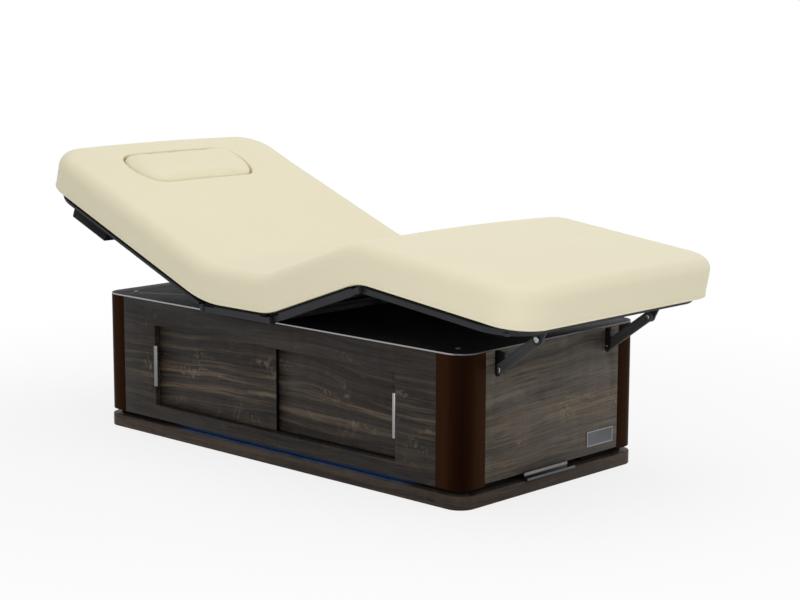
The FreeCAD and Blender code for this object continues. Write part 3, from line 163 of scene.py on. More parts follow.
class Shader:
    """A node material around one Principled BSDF, built a node at a time."""

    def __init__(self, name, colour, roughness, **sockets):
        self.material = bpy.data.materials.new(name)
        self.material.use_nodes = True
        self.tree = self.material.node_tree
        self.surface = self.tree.nodes["Principled BSDF"]
        self.surface.inputs["Base Color"].default_value = (*colour, 1)
        self.surface.inputs["Roughness"].default_value = roughness
        for socket, value in sockets.items():
            self.surface.inputs[socket.replace("_", " ")].default_value = value
        self.place = self.tree.nodes.new("ShaderNodeTexCoord").outputs["Object"]

    def add(self, kind, result=0, **inputs):
        """Add a node, set or link its inputs (by name, or i0, i1... by number), and return one output."""
        settings = inputs.pop("settings", {})
        made = self.tree.nodes.new("ShaderNode" + kind)
        for name, value in settings.items():
            setattr(made, name, value)
        for name, value in inputs.items():
            key = int(name[1:]) if name[1:].isdigit() else name.replace("_", " ")
            socket = made.inputs[key]
            if isinstance(value, bpy.types.NodeSocket):
                self.tree.links.new(value, socket)
            else:
                socket.default_value = value
        return made.outputs[result]

    def math(self, operation, first, second=0.0):
        return self.add("Math", i0=first, i1=second, settings={"operation": operation})

    def scaled(self, place, scale, offset=(0, 0, 0)):
        return self.add("Mapping", Vector=place, Scale=scale, Location=offset)

    def noise(self, place, scale, detail=2.0, roughness=0.5, distortion=0.0):
        return self.add("TexNoise", Vector=place, Scale=scale, Detail=detail, Roughness=roughness,
                        Distortion=distortion)

    def ramp(self, factor, *stops):
        """Colours or greys at places along a factor."""
        made = self.tree.nodes.new("ShaderNodeValToRGB")
        self.tree.links.new(factor, made.inputs[0])
        elements = made.color_ramp.elements
        while len(elements) < len(stops):
            elements.new(1)
        for element, (position, colour) in zip(elements, stops):
            element.position = position
            element.color = (*colour, 1) if isinstance(colour, tuple) else (colour, colour, colour, 1)
        return made.outputs[0]

    def mix(self, factor, first, second, mode="MIX"):
        made = self.tree.nodes.new("ShaderNodeMix")
        made.data_type = "RGBA"
        made.blend_type = mode
        for socket, value in ((made.inputs[0], factor), (made.inputs[6], first), (made.inputs[7], second)):
            if isinstance(value, bpy.types.NodeSocket):
                self.tree.links.new(value, socket)
            else:
                socket.default_value = (*value, 1) if isinstance(value, tuple) else value
        return made.outputs[2]

    def colour(self, source):
        self.tree.links.new(source, self.surface.inputs["Base Color"])

    def glow(self, source):
        self.tree.links.new(source, self.surface.inputs["Emission Color"])

    def parts(self, source=None):
        """X, Y and Z of a vector, of the place by default."""
        made = self.tree.nodes.new("ShaderNodeSeparateXYZ")
        self.tree.links.new(source or self.place, made.inputs[0])
        return made.outputs

    def normal(self):
        return self.tree.nodes.new("ShaderNodeTexCoord").outputs["Normal"]

    def between(self, source, low, high):
        """0 up to low, 1 from high on, smooth between."""
        return self.add("MapRange", Value=source, From_Min=low, From_Max=high,
                        settings={"interpolation_type": "SMOOTHSTEP"})

    def roughness(self, source, low, high):
        made = self.add("MapRange", Value=source, To_Min=low, To_Max=high)
        self.tree.links.new(made, self.surface.inputs["Roughness"])

    def bump(self, height, strength, distance, under=None):
        inputs = {"Height": height, "Strength": strength, "Distance": distance}
        if under is not None:
            inputs["Normal"] = under
        made = self.add("Bump", **inputs)
        self.tree.links.new(made, self.surface.inputs["Normal"])
        return made

    def brushed(self, brush, strength):
        """Fine brushing, drawn out along the axis whose scale is small."""
        self.bump(self.noise(self.scaled(self.place, brush), 900.0, detail=3), strength, 0.0004)


def vinyl_material():
    """Cream upholstery vinyl: soft pebbled grain, faint unevenness of tone, a low satin gloss."""
    shader = Shader("cream_vinyl", (0.77, 0.715, 0.52), 0.50, Specular_IOR_Level=0.30, Coat_Weight=0.02,
                    Coat_Roughness=0.35)
    patches = shader.noise(shader.place, 3.5, detail=3)
    grain = shader.add("TexVoronoi", Vector=shader.place, Scale=620.0,
                       settings={"feature": "SMOOTH_F1"})
    wander = shader.noise(shader.place, 900.0, detail=2)
    tone = shader.ramp(patches, (0.30, (0.785, 0.727, 0.528)), (0.72, (0.800, 0.744, 0.548)))
    shade = shader.ramp(grain, (0.0, 1.0), (0.85, 0.965))
    shader.colour(shader.mix(1.0, tone, shade, "MULTIPLY"))
    shader.roughness(patches, 0.46, 0.56)
    softness = shader.bump(shader.noise(shader.place, 14.0, detail=2), 0.06, 0.006)
    pebbles = shader.math("ADD", grain, shader.math("MULTIPLY", wander, 0.5))
    shader.bump(pebbles, 0.14, 0.0006, under=softness)
    return shader.material


def wood_material(name, offset, tone_and_light_share, gold_share, warmth=(1.0, 1.0, 1.0), shadow_black_ends=False):
    """Dark walnut, its grain level round the cabinet along x + y: grey-brown streaks, golden at mid-height.
    The tone share scales the whole board's colour: its own tone, and painted light where it is raised for a lit
    face.

    Offset picks the stretch of veneer. With black ends, the faces across X are painted black: painted shade for
    the shadow in the gaps at the doors' ends.
    """
    shader = Shader(name, (0.03, 0.026, 0.024), 0.45, Specular_IOR_Level=0.11)
    place = shader.parts()
    along = shader.math("ADD", place[0], place[1])
    height = place[2]
    board = shader.scaled(shader.add("CombineXYZ", X=along, Y=height), (1, 1, 1),
                          (offset, offset * 1.7, offset * 0.6))
    sway = shader.noise(shader.scaled(board, (1.5, 2.5, 1)), 1.0, detail=2)
    swayed = shader.add("VectorMath", i0=board,
                        i1=shader.add("CombineXYZ", Y=shader.math("MULTIPLY", sway, 0.10)),
                        settings={"operation": "ADD"})

    def veneer(x_scale, z_scale, detail, roughness=0.6, place=swayed):
        stretched = shader.scaled(place, (x_scale, z_scale, 1))
        return shader.noise(stretched, 1.0, detail=detail, roughness=roughness)

    streaks = veneer(2.2, 105.0, 5, 0.66)
    level = shader.math("MULTIPLY", veneer(1.6, 17.0, 5), 0.36)
    for source, share in ((streaks, 0.40), (veneer(14.0, 620.0, 3), 0.14), (veneer(34.0, 9.0, 2), 0.10)):
        level = shader.math("ADD", level, shader.math("MULTIPLY", source, share))
    tones = ((0.40, (0.0145, 0.0124, 0.0112)), (0.50, (0.0278, 0.0233, 0.0204)),
             (0.66, (0.0640, 0.0520, 0.0420)))
    # The tone share scales the colour; on the foot panel it is painted light for the light on the foot end.
    tone = shader.ramp(level, *((at, tuple(c * tone_and_light_share * w for c, w in zip(colour, warmth)))
                                for at, colour in tones))
    away = shader.math("ABSOLUTE", shader.math("SUBTRACT", height, GOLD_HEIGHT))
    zone = shader.ramp(away, (0.02, 1.0), (0.16, 0.10))
    gilt = shader.ramp(veneer(1.8, 58.0, 5, 0.62), (0.50, 0.0), (0.70, 1.0))
    gilt = shader.math("MULTIPLY", shader.math("MULTIPLY", gilt, zone), gold_share)
    tone = shader.mix(gilt, tone, (0.150, 0.108, 0.070))
    knots = shader.ramp(veneer(7.5, 17.0, 2), (0.55, 0.0), (0.66, 1.0))
    flecks = shader.ramp(veneer(75.0, 60.0, 3, place=board), (0.46, 0.0), (0.64, 1.0))
    curl = shader.math("MULTIPLY", knots, flecks)
    curl = shader.math("MULTIPLY", curl, shader.math("MULTIPLY", zone, 0.70))
    tone = shader.mix(curl, tone, (0.190, 0.142, 0.098))
    pores = shader.ramp(veneer(10.0, 420.0, 1), (0.32, 0.50), (0.41, 1.0))
    tone = shader.mix(1.0, tone, pores, "MULTIPLY")
    # Painted shade: the doors' end faces across X are painted black for the shadow in their gaps.
    if shadow_black_ends:
        across = shader.math("ABSOLUTE", shader.parts(shader.normal())[0])
        tone = shader.mix(shader.between(across, 0.6, 0.8), tone, (0.0016, 0.0015, 0.0014))
    shader.colour(tone)
    shader.roughness(streaks, 0.38, 0.56)
    shader.bump(streaks, 0.10, 0.0010)
    return shader


def plinth_material():
    """The plinth's warmer wood, brightened overall by its tone share, partly painted light for the light on its
    foot end, with the light strip's glow on its top.
    """
    # The tone share of 1.30 is partly painted light, raised for the lit foot end.
    shader = wood_material("walnut_plinth", 9.2, 1.30, 0.4, warmth=(1.22, 1.02, 0.88))
    place = shader.parts()
    away = shader.math("ABSOLUTE", place[1])
    line = shader.ramp(shader.add("MapRange", Value=away, From_Min=LIGHT_FACE, From_Max=PLINTH_EDGE),
                       (0.0, (0.0010, 0.0030, 0.0100)), (0.30, (0.0022, 0.0110, 0.0320)),
                       (0.55, (0.0050, 0.0360, 0.0950)), (0.80, (0.0020, 0.0100, 0.0300)),
                       (1.0, (0.0, 0.0, 0.0)))
    on_top = shader.between(place[2], *(PLINTH_TOP + step for step in GLOW_BLUR))
    lit = shader.math("MULTIPLY", light_ends(shader, place[0]), on_top)
    shader.glow(shader.mix(lit, (0.0, 0.0, 0.0), line))
    shader.surface.inputs["Emission Strength"].default_value = 1.0
    return shader.material


def lacquer_material():
    """Brown satin lacquer on the corner posts, with the wood's vertical figure just showing, and painted shade
    that darkens the posts where they face diagonally towards +X and -Y.
    """
    shader = Shader("brown_lacquer", (0.024, 0.0085, 0.0026), 0.42, Specular_IOR_Level=0.012)
    figure = shader.noise(shader.scaled(shader.place, (60, 60, 2.5)), 1.0, detail=4)
    side = shader.parts(shader.normal())
    # Painted shade: the colour darkens from the flat faces to those facing diagonally towards +X and -Y.
    painted_shade_facing = shader.math("MULTIPLY", shader.math("MULTIPLY", side[0], side[1]), -2.0)
    shade = shader.ramp(painted_shade_facing, (0.0, (0.0270, 0.0098, 0.0030)), (0.5, (0.0175, 0.0058, 0.0016)),
                        (1.0, (0.0100, 0.0029, 0.0007)))
    grain = shader.ramp(figure, (0.35, 0.82), (0.70, 1.0))
    shader.colour(shader.mix(1.0, shade, grain, "MULTIPLY"))
    shader.roughness(figure, 0.36, 0.46)
    shader.bump(shader.noise(shader.place, 45.0), 0.05, 0.001)
    return shader.material


def metal_material(name, colour, roughness, metallic, brush=(1, 1, 1), grain=0.12, **sockets):
    """Metal or powder coat with a fine texture, drawn out along an axis where it is brushed."""
    shader = Shader(name, colour, roughness, Metallic=metallic, **sockets)
    fine = shader.noise(shader.scaled(shader.place, brush), 900.0, detail=3, roughness=0.6)
    smudge = shader.noise(shader.place, 9.0, detail=4)
    low = tuple(c * 0.88 for c in colour)
    high = tuple(min(1, c * 1.10) for c in colour)
    shader.colour(shader.ramp(smudge, (0.3, low), (0.7, high)))
    shader.roughness(smudge, roughness - 0.05, roughness + 0.07)
    shader.bump(fine, grain, 0.0004)
    return shader.material


def trim_material():
    """Edge trim with a painted highlight: pale along its door side, dark along the foot and head ends."""
    shader = Shader("edge_trim", (0.40, 0.39, 0.40), 0.34, Metallic=1.0)
    smudge = shader.noise(shader.place, 9.0, detail=4)
    # Painted highlight: the trim is pale within a few millimetres of its door-side edge, dark elsewhere.
    run = shader.between(shader.parts()[1], TRIM_EDGE - 0.0002, TRIM_EDGE + TRIM_HIGHLIGHT)
    shader.colour(shader.ramp(run, (0.0, (0.34, 0.33, 0.33)), (1.0, (0.100, 0.100, 0.100))))
    shader.roughness(smudge, 0.28, 0.42)
    shader.brushed((0.05, 1, 1), 0.10)
    return shader.material


def board_material():
    """Near-black board edge with faint plies."""
    shader = Shader("black_board", (0.005, 0.005, 0.005), 0.7, Specular_IOR_Level=0.05)
    fibres = shader.noise(shader.scaled(shader.place, (3, 3, 260)), 1.0, detail=4)
    shader.colour(shader.ramp(fibres, (0.3, (0.0036, 0.0036, 0.0036)), (0.7, (0.0070, 0.0069, 0.0067))))
    shader.bump(shader.noise(shader.place, 300.0, detail=3), 0.2, 0.0006)
    return shader.material


def plastic_material(name, level):
    """Fine-textured black plastic."""
    shader = Shader(name, (0.008, 0.008, 0.009), 0.5, Specular_IOR_Level=level)
    texture = shader.add("TexVoronoi", Vector=shader.place, Scale=1100.0)
    shader.roughness(shader.noise(shader.place, 12.0, detail=3), 0.44, 0.58)
    shader.colour(shader.ramp(shader.noise(shader.place, 6.0), (0.3, (0.006, 0.006, 0.0065)),
                              (0.7, (0.010, 0.010, 0.011))))
    shader.bump(texture, 0.2, 0.0004)
    return shader.material


def light_ends(shader, along):
    """1 along the light strip, fading out towards its ends."""
    begun = shader.between(along, LIGHT_START, LIGHT_START + LIGHT_FADE)
    ended = shader.between(along, LIGHT_END - LIGHT_FADE, LIGHT_END)
    return shader.math("MULTIPLY", begun, shader.math("SUBTRACT", 1.0, ended))


def light_material():
    """Blue light strip: a fine bright line along a dark milky cover, with its diodes just showing."""
    shader = Shader("light_blue", (0.0035, 0.0090, 0.0260), 0.4, Emission_Strength=1.0,
                    Specular_IOR_Level=0.05)
    place = shader.parts()
    diodes = shader.add("MapRange", Value=shader.math("SINE", shader.math("MULTIPLY", place[0], 380.0)),
                        From_Min=-1.0, To_Min=0.85, To_Max=1.0)
    line = shader.ramp(shader.add("MapRange", Value=place[2], From_Min=LIGHT_BOTTOM, From_Max=LIGHT_TOP),
                       (0.05, (0.0010, 0.0030, 0.0120)), (0.38, (0.0030, 0.0230, 0.0640)),
                       (0.60, (0.0022, 0.0120, 0.0380)), (0.85, (0.0010, 0.0024, 0.0090)))
    lit = shader.math("MULTIPLY", light_ends(shader, place[0]), diodes)
    shader.glow(shader.mix(lit, (0.0, 0.0, 0.0), line))
    return shader.material


def plate_material():
    """Brushed plate with a paler rim; it bears no lettering."""
    shader = Shader("plate_metal", (0.085, 0.090, 0.094), 0.40, Metallic=1.0)
    low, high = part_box("blank_plate")
    place = shader.parts()
    reach = []
    for axis in (1, 2):
        middle, half = (low[axis] + high[axis]) / 2, (high[axis] - low[axis]) / 2
        away = shader.math("ABSOLUTE", shader.math("SUBTRACT", place[axis], middle))
        reach.append(shader.math("SUBTRACT", away, half - PLATE_RIM))
    rim = shader.between(shader.math("MAXIMUM", *reach), *PLATE_BLUR)
    smudge = shader.noise(shader.place, 14.0, detail=4)
    face = shader.ramp(smudge, (0.3, (0.082, 0.087, 0.091)), (0.7, (0.100, 0.106, 0.110)))
    shader.colour(shader.mix(rim, face, (0.230, 0.240, 0.245)))
    shader.roughness(smudge, 0.34, 0.46)
    shader.brushed((1, 0.05, 1), 0.12)
    return shader.material


def pedal_material(name, colour):
    """Brushed pedal top over a black underside."""
    shader = Shader(name, colour, 0.36, Metallic=1.0)
    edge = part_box(name)[1][2] - PEDAL_PLATE
    smudge = shader.noise(shader.place, 9.0, detail=4)
    face = shader.ramp(smudge, (0.3, tuple(c * 0.9 for c in colour)), (0.7, tuple(c * 1.1 for c in colour)))
    upper = shader.between(shader.parts()[2], edge - PEDAL_BLUR, edge + PEDAL_BLUR)
    shader.colour(shader.mix(upper, (0.004, 0.004, 0.004), face))
    shader.roughness(smudge, 0.30, 0.44)
    shader.brushed((1, 0.05, 1), 0.12)
    return shader.material


def coated(name, colour, roughness, level):
    return metal_material(name, colour, roughness, 0.0, Specular_IOR_Level=level)


materials = {
    "upholstery": vinyl_material(),
    "brown_lacquer": lacquer_material(),
    "black_board": board_material(),
    "black_plastic": plastic_material("black_plastic", 0.18),
    "light_blue": light_material(),
    "charcoal_steel": coated("charcoal_steel", (0.0150, 0.0160, 0.0185), 0.42, 0.22),
    "black_steel": coated("black_steel", (0.0060, 0.0060, 0.0062), 0.48, 0.12),
    "deck_sheet": coated("deck_sheet", (0.0080, 0.0080, 0.0082), 0.58, 0.17),
    "aluminium": metal_material("aluminium", (0.30, 0.30, 0.295), 0.34, 1.0, brush=(1, 1, 0.05)),
    "steel": metal_material("steel", (0.55, 0.55, 0.54), 0.24, 1.0),
}
# Per board: veneer offset, tone share, gold share, then warmth and black ends (painted shade) where given. The
# foot panel's high tone share is painted light for the brighter light on the foot end.
WOOD_BOARDS = {
    "near_panel": (0.0, 0.74, 0.55), "far_panel": (7.3, 1.0, 0.6), "head_panel": (4.1, 1.0, 0.6),
    "foot_panel": (2.6, 2.75, 1.0, (0.99, 1.0, 0.92)),
    "left_door": (1.9, 1.12, 1.0, (1.0, 1.0, 1.0), True),
    "right_door": (5.7, 1.25, 0.85, (1.02, 1.0, 0.97), True),
}
own_material = {node: wood_material(f"walnut_{node}", *look).material for node, look in WOOD_BOARDS.items()}
own_material["plinth"] = plinth_material()
own_material["deck_trim"] = trim_material()
own_material["blank_plate"] = plate_material()
own_material["near_link_arm"] = coated("arm_steel", (0.045, 0.047, 0.045), 0.46, 0.20)
own_material["far_link_arm"] = own_material["near_link_arm"]
own_material["door_tracks"] = materials["black_steel"]
own_material["deck_screws"] = metal_material("screw_steel", (0.28, 0.28, 0.28), 0.35, 1.0)
own_material["link_bolts"] = metal_material("bolt_steel", (0.34, 0.34, 0.33), 0.26, 1.0)
# Painted shade: the left handle gets a darker copy of the handles' metal than the right handle's aluminium.
own_material["left_handle"] = metal_material("shaded_handle_metal", (0.19, 0.19, 0.187), 0.36, 1.0,
                                             brush=(1, 1, 0.05))
own_material["head_box"] = plastic_material("head_box_plastic", 0.06)
own_material["raise_pedal"] = pedal_material("raise_pedal", (0.16, 0.16, 0.158))
own_material["lower_pedal"] = pedal_material("lower_pedal", (0.095, 0.10, 0.103))


def material_for(node):
    return own_material.get(node) or materials[slot_of_node[node]]


# Meshes

def link(name, data):
    piece = bpy.data.objects.new(name, data)
    bpy.context.scene.collection.objects.link(piece)
    return piece


def mesh_from(shape, name):
    """Turn a bmesh into a mesh of that name, and free it."""
    mesh = bpy.data.meshes.new(name)
    shape.to_mesh(mesh)
    shape.free()
    return mesh


def bridge(shape, rings):
    """Faces between each closed ring of points and the next one."""
    for first, second in zip(rings, rings[1:]):
        for number in range(len(first)):
            following = (number + 1) % len(first)
            shape.faces.new((first[number], first[following], second[following], second[number]))


def shade_smooth(mesh, angle):
    mesh.polygons.foreach_set("use_smooth", [True] * len(mesh.polygons))
    mesh.set_sharp_from_angle(angle=math.radians(angle))


# Rigid pieces: the CAD shape with its sharp edges eased

WELD_DISTANCE = 1e-5
FLAT_ANGLE, SHARP_ANGLE = math.radians(1), math.radians(30)
EASED_SEGMENTS = 2


def ease_edges(node, width):
    """Stand for a CAD node by the same shape with its sharp edges rounded by width."""
    shape = bmesh.new()
    shape.from_mesh(nodes[node].data)
    bmesh.ops.remove_doubles(shape, verts=shape.verts, dist=WELD_DISTANCE)
    bmesh.ops.dissolve_limit(shape, angle_limit=FLAT_ANGLE, verts=shape.verts, edges=shape.edges)
    sharp = [edge for edge in shape.edges
             if len(edge.link_faces) == 2 and edge.calc_face_angle() > SHARP_ANGLE]
    bmesh.ops.bevel(shape, geom=sharp, offset=width, offset_type="OFFSET", segments=EASED_SEGMENTS,
                    profile=0.5, affect="EDGES", clamp_overlap=True, harden_normals=False)
    mesh = mesh_from(shape, f"eased_{node}")
    mesh.materials.clear()
    mesh.materials.append(material_for(node))
    shade_smooth(mesh, EASED_SMOOTH)
    piece = link(f"eased_{node}", mesh)
    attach(piece, body_of_node[node])
    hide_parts(node)


EASED = {
    "near_panel": 0.0008, "far_panel": 0.0008, "head_panel": 0.0008, "foot_panel": 0.0008,
    "left_door": 0.0008, "right_door": 0.0008, "plinth": 0.003,
    "head_near_post": 0.001, "head_far_post": 0.001, "foot_near_post": 0.001, "foot_far_post": 0.001,
    "deck": 0.0008, "deck_trim": 0.0004, "left_handle": 0.001, "right_handle": 0.001,
    "blank_plate": 0.0003, "raise_pedal": 0.0008, "lower_pedal": 0.0008, "head_box": 0.003,
    "near_link_arm": 0.0012, "far_link_arm": 0.0012, "foot_brackets": 0.0008, "link_bolts": 0.0012,
    "deck_screws": 0.0006, "mains_inlet": 0.0006, "seat_pins": 0.0008, "knee_pins": 0.0008,
}
for node, shape in nodes.items():
    shape.data.materials.clear()
    shape.data.materials.append(material_for(node))
for node, width in EASED.items():
    ease_edges(node, width)


# Mattress

class Section:
    """Straight section of the bed: its own flat coordinates, hinged and tilted about +Y."""

    def __init__(self, hinge, tilt):
        self.hinge = hinge
        self.turn = Matrix.Rotation(math.radians(tilt), 3, "Y")
        self.tilt = math.radians(tilt)

    def point(self, along, across=0.0, up=0.0):
        return self.hinge + self.turn @ Vector((along, across, up))

    def station(self, along):
        return self.point(along), self.tilt


seat_origin = hinges["backrest_tilt"]
seat_end = hinges["thigh_tilt"].x - seat_origin.x
back = Section(hinges["backrest_tilt"], BACK_TILT)
seat = Section(seat_origin, 0.0)
thigh = Section(hinges["thigh_tilt"], THIGH_TILT)
leg = Section(hinges["knee_fold"], LEG_TILT)


def spaced(start, end, step=STATION_STEP):
    """Even places from start to end, both included."""
    count = max(1, math.ceil(abs(end - start) / step))
    return [start + (end - start) * number / count for number in range(count + 1)]


def bend_stations(axis, before, after, half):
    """Centre and tilt at places along the curved stretch between two sections, without its ends."""
    start = axis + Matrix.Rotation(before, 3, "Y") @ Vector((-half, 0, 0))
    end = axis + Matrix.Rotation(after, 3, "Y") @ Vector((half, 0, 0))
    stations = []
    for number in range(1, BEND_STEPS):
        share = number / BEND_STEPS
        centre = start * (1 - share) ** 2 + axis * (2 * share * (1 - share)) + end * share ** 2
        slope = (axis - start) * (1 - share) + (end - axis) * share
        stations.append((centre, -math.atan2(slope.z, slope.x)))
    return stations


def side_layers(radius):
    """Inset and height of each loop: the rolled hem, up the side, and over a radius to the top's rim."""
    layers = [(SIDE_DRAW + HEM_TURN_IN, BOTTOM)]
    for number in range(HEM_STEPS + 1):
        angle = HEM_TURN * number / HEM_STEPS
        layers.append((SIDE_DRAW + HEM_RADIUS * (HEM_BULGE_SHARE - math.sin(angle)),
                       BOTTOM + HEM_LIFT + HEM_RADIUS * (1 - math.cos(angle))))
    low, high = BOTTOM + HEM_HEIGHT, SHOULDER - radius
    layers.append((SIDE_DRAW + SEAM_INSET, low - SEAM_DROP))
    for number in range(SIDE_STEPS):
        share = number / SIDE_STEPS
        layers.append((SIDE_DRAW * (1 - share), low + (high - low) * share))
    for number in range(TOP_STEPS + 1):
        angle = math.pi / 2 * number / TOP_STEPS
        layers.append((radius * (1 - math.cos(angle)), high + radius * math.sin(angle)))
    return layers


def crown_at(across, height, radius):
    """Rise of the crowned top at a distance from the middle, fading out towards the underside."""
    reach = min(1.0, abs(across) / (HALF_WIDTH - radius))
    return CROWN * (1 - reach ** 2) * (height - BOTTOM) / (SHOULDER - BOTTOM)


class MattressPiece:
    """Closed stretch of the mattress: rows across the length, each a loop, with a rounded or a cut end.

    A row is its centre, tilt, shoulder radius and, for an inset, its place along and half its width.
    """

    def __init__(self, name):
        self.name = name
        self.shape = bmesh.new()
        self.rows = []

    def add_rounded_end(self, section, end, sign, radius):
        """Rows round the corners at a section's outer end; sign is the way from the end into it."""
        rows = []
        for number in range(CORNER_STEPS + 1):
            angle = math.pi / 2 * number / CORNER_STEPS

            def row(inset, angle=angle):
                turn = PLAN_RADIUS - inset
                along = end + sign * (PLAN_RADIUS - turn * math.cos(angle))
                half = HALF_WIDTH - PLAN_RADIUS + turn * math.sin(angle)
                return section.station(along), half
            rows.append((row, side_layers(radius), radius))
        self.rows += rows if sign > 0 else rows[::-1]

    def add_stations(self, stations, radius=TOP_RADIUS, end_radius=None):
        """Rows at full width, the shoulder's radius changing evenly where an end radius is given."""
        stations = list(stations)
        for number, station in enumerate(stations):
            share = (number + 1) / len(stations)
            own = radius if end_radius is None else radius + (end_radius - radius) * share

            def row(inset, station=station):
                return station, HALF_WIDTH - inset
            self.rows.append((row, side_layers(own), own))

    def place(self, number, level, share):
        """Point of a row's loop at a share, from -1 to 1, of its half width."""
        row, layers, radius = self.rows[number]
        inset, height = layers[level]
        (centre, tilt), half = row(inset)
        across = share * half
        lift = height + crown_at(across, height, radius)
        return centre + Matrix.Rotation(tilt, 3, "Y") @ Vector((0, across, lift))

    def build(self, open_start, open_end):
        """Make the mesh. An open end is cut flat, and a rounded one is closed by its loops."""
        shape = self.shape
        shares = [2 * column / COLUMNS - 1 for column in range(COLUMNS + 1)]
        last = len(self.rows) - 1
        levels = len(self.rows[0][1])
        grids = {}
        for level in (0, levels - 1):
            grids[level] = [[shape.verts.new(self.place(number, level, share)) for share in shares]
                            for number in range(last + 1)]
        self.top = grids[levels - 1]

        def rim():
            """Places round a level: near side, far end, far side, start end."""
            near = [(number, 0) for number in range(last + 1)]
            far = [(number, COLUMNS) for number in range(last, -1, -1)]
            end = [] if open_end else [(last, column) for column in range(1, COLUMNS)]
            start = [] if open_start else [(0, column) for column in range(COLUMNS - 1, 0, -1)]
            return near, end, far, start

        loops = []
        for level in range(levels):
            loop = []
            for part in rim():
                for number, column in part:
                    if level in grids:
                        loop.append(grids[level][number][column])
                    else:
                        loop.append(shape.verts.new(self.place(number, level, shares[column])))
            loops.append(loop)
        count = len(loops[0])
        gaps = set()
        if open_end:
            gaps.add(last)
        if open_start:
            gaps.add(count - 1)
        for lower, upper in zip(loops, loops[1:]):
            for number in range(count):
                if number in gaps:
                    continue
                following = (number + 1) % count
                shape.faces.new((lower[number], lower[following], upper[following], upper[number]))
        for level, grid in grids.items():
            for number in range(last):
                for column in range(COLUMNS):
                    corners = [grid[number][column], grid[number + 1][column],
                               grid[number + 1][column + 1], grid[number][column + 1]]
                    shape.faces.new(corners if level else corners[::-1])
        for cut_open, number, near_at, far_at in ((open_start, 0, 0, count - 1),
                                                  (open_end, last, last, last + 1)):
            if not cut_open:
                continue
            top, bottom = self.top[number], grids[0][number]
            outline = ([loop[near_at] for loop in loops] + top[1:-1]
                       + [loop[far_at] for loop in loops[::-1]] + bottom[1:-1][::-1])
            shape.faces.new(outline)
        bmesh.ops.recalc_face_normals(shape, faces=shape.faces)

    def finish(self):
        mesh = mesh_from(self.shape, self.name)
        mesh.materials.append(materials["upholstery"])
        shade_smooth(mesh, MATTRESS_SMOOTH)
        return link(self.name, mesh)


def cushion_outline():
    """Rounded outline of the face cushion as points round it, along and across."""
    def side(share_of_waist, sign):
        waist = CUSHION_HEAD + (CUSHION_FOOT - CUSHION_HEAD) * share_of_waist
        points = []
        for number in range(CUSHION_SIDE_STEPS + 1):
            turn = math.pi * number / CUSHION_SIDE_STEPS
            along = CUSHION_HEAD + (CUSHION_FOOT - CUSHION_HEAD) * (1 - math.cos(turn)) / 2
            end, half = ((CUSHION_HEAD, CUSHION_HEAD_HALF) if along < waist
                         else (CUSHION_FOOT, CUSHION_FOOT_HALF))
            share = (along - waist) / (end - waist)
            reach = half + (CUSHION_HALF - half) * math.sqrt(max(0.0, 1 - share ** CUSHION_ROUNDNESS))
            points.append(Vector((along, sign * reach)))
        return points

    shares = [2 * n / CUSHION_END_STEPS - 1 for n in range(1, CUSHION_END_STEPS)]
    head = [Vector((CUSHION_HEAD, CUSHION_HEAD_HALF * share)) for share in shares]
    foot = [Vector((CUSHION_FOOT, -CUSHION_FOOT_HALF * share)) for share in shares]
    ring = side(CUSHION_FAR_WAIST, 1) + foot + side(CUSHION_NEAR_WAIST, -1)[::-1] + head
    ring = [point + Vector((0, CUSHION_MIDDLE)) for point in ring]
    for _ in range(OUTLINE_SMOOTHINGS):
        ring = [(ring[n - 1] + ring[n] * 2 + ring[(n + 1) % len(ring)]) / 4 for n in range(len(ring))]
    return ring


CUSHION_CENTRE = Vector(((CUSHION_HEAD + CUSHION_FOOT) / 2, CUSHION_MIDDLE))
outline_points = cushion_outline()


def outline_at(angle, outset=0.0):
    """Point of the cushion's outline in a direction from its centre, moved out by outset."""
    direction = Vector((math.cos(angle), math.sin(angle)))
    for number, first in enumerate(outline_points):
        second = outline_points[(number + 1) % len(outline_points)]
        a, b = first - CUSHION_CENTRE, second - CUSHION_CENTRE
        cross_a, cross_b = direction.x * a.y - direction.y * a.x, direction.x * b.y - direction.y * b.x
        if cross_a * cross_b <= 0 and (a + b).dot(direction) > 0 and cross_a != cross_b:
            share = cross_a / (cross_a - cross_b)
            edge = (b - a).normalized()
            return first.lerp(second, share) - Vector((edge.y, -edge.x)) * outset


def back_place(place):
    """Place along, across and up in the backrest's own coordinates."""
    return back.turn.inverted() @ (place - back.hinge)


def new_top_vert(shape, flat, drop):
    """Add a point at a drop from the backrest's crowned top."""
    lift = SHOULDER + crown_at(flat.y, SHOULDER, BACK_TOP_RADIUS) + drop
    return shape.verts.new(back.point(flat.x, flat.y, lift))


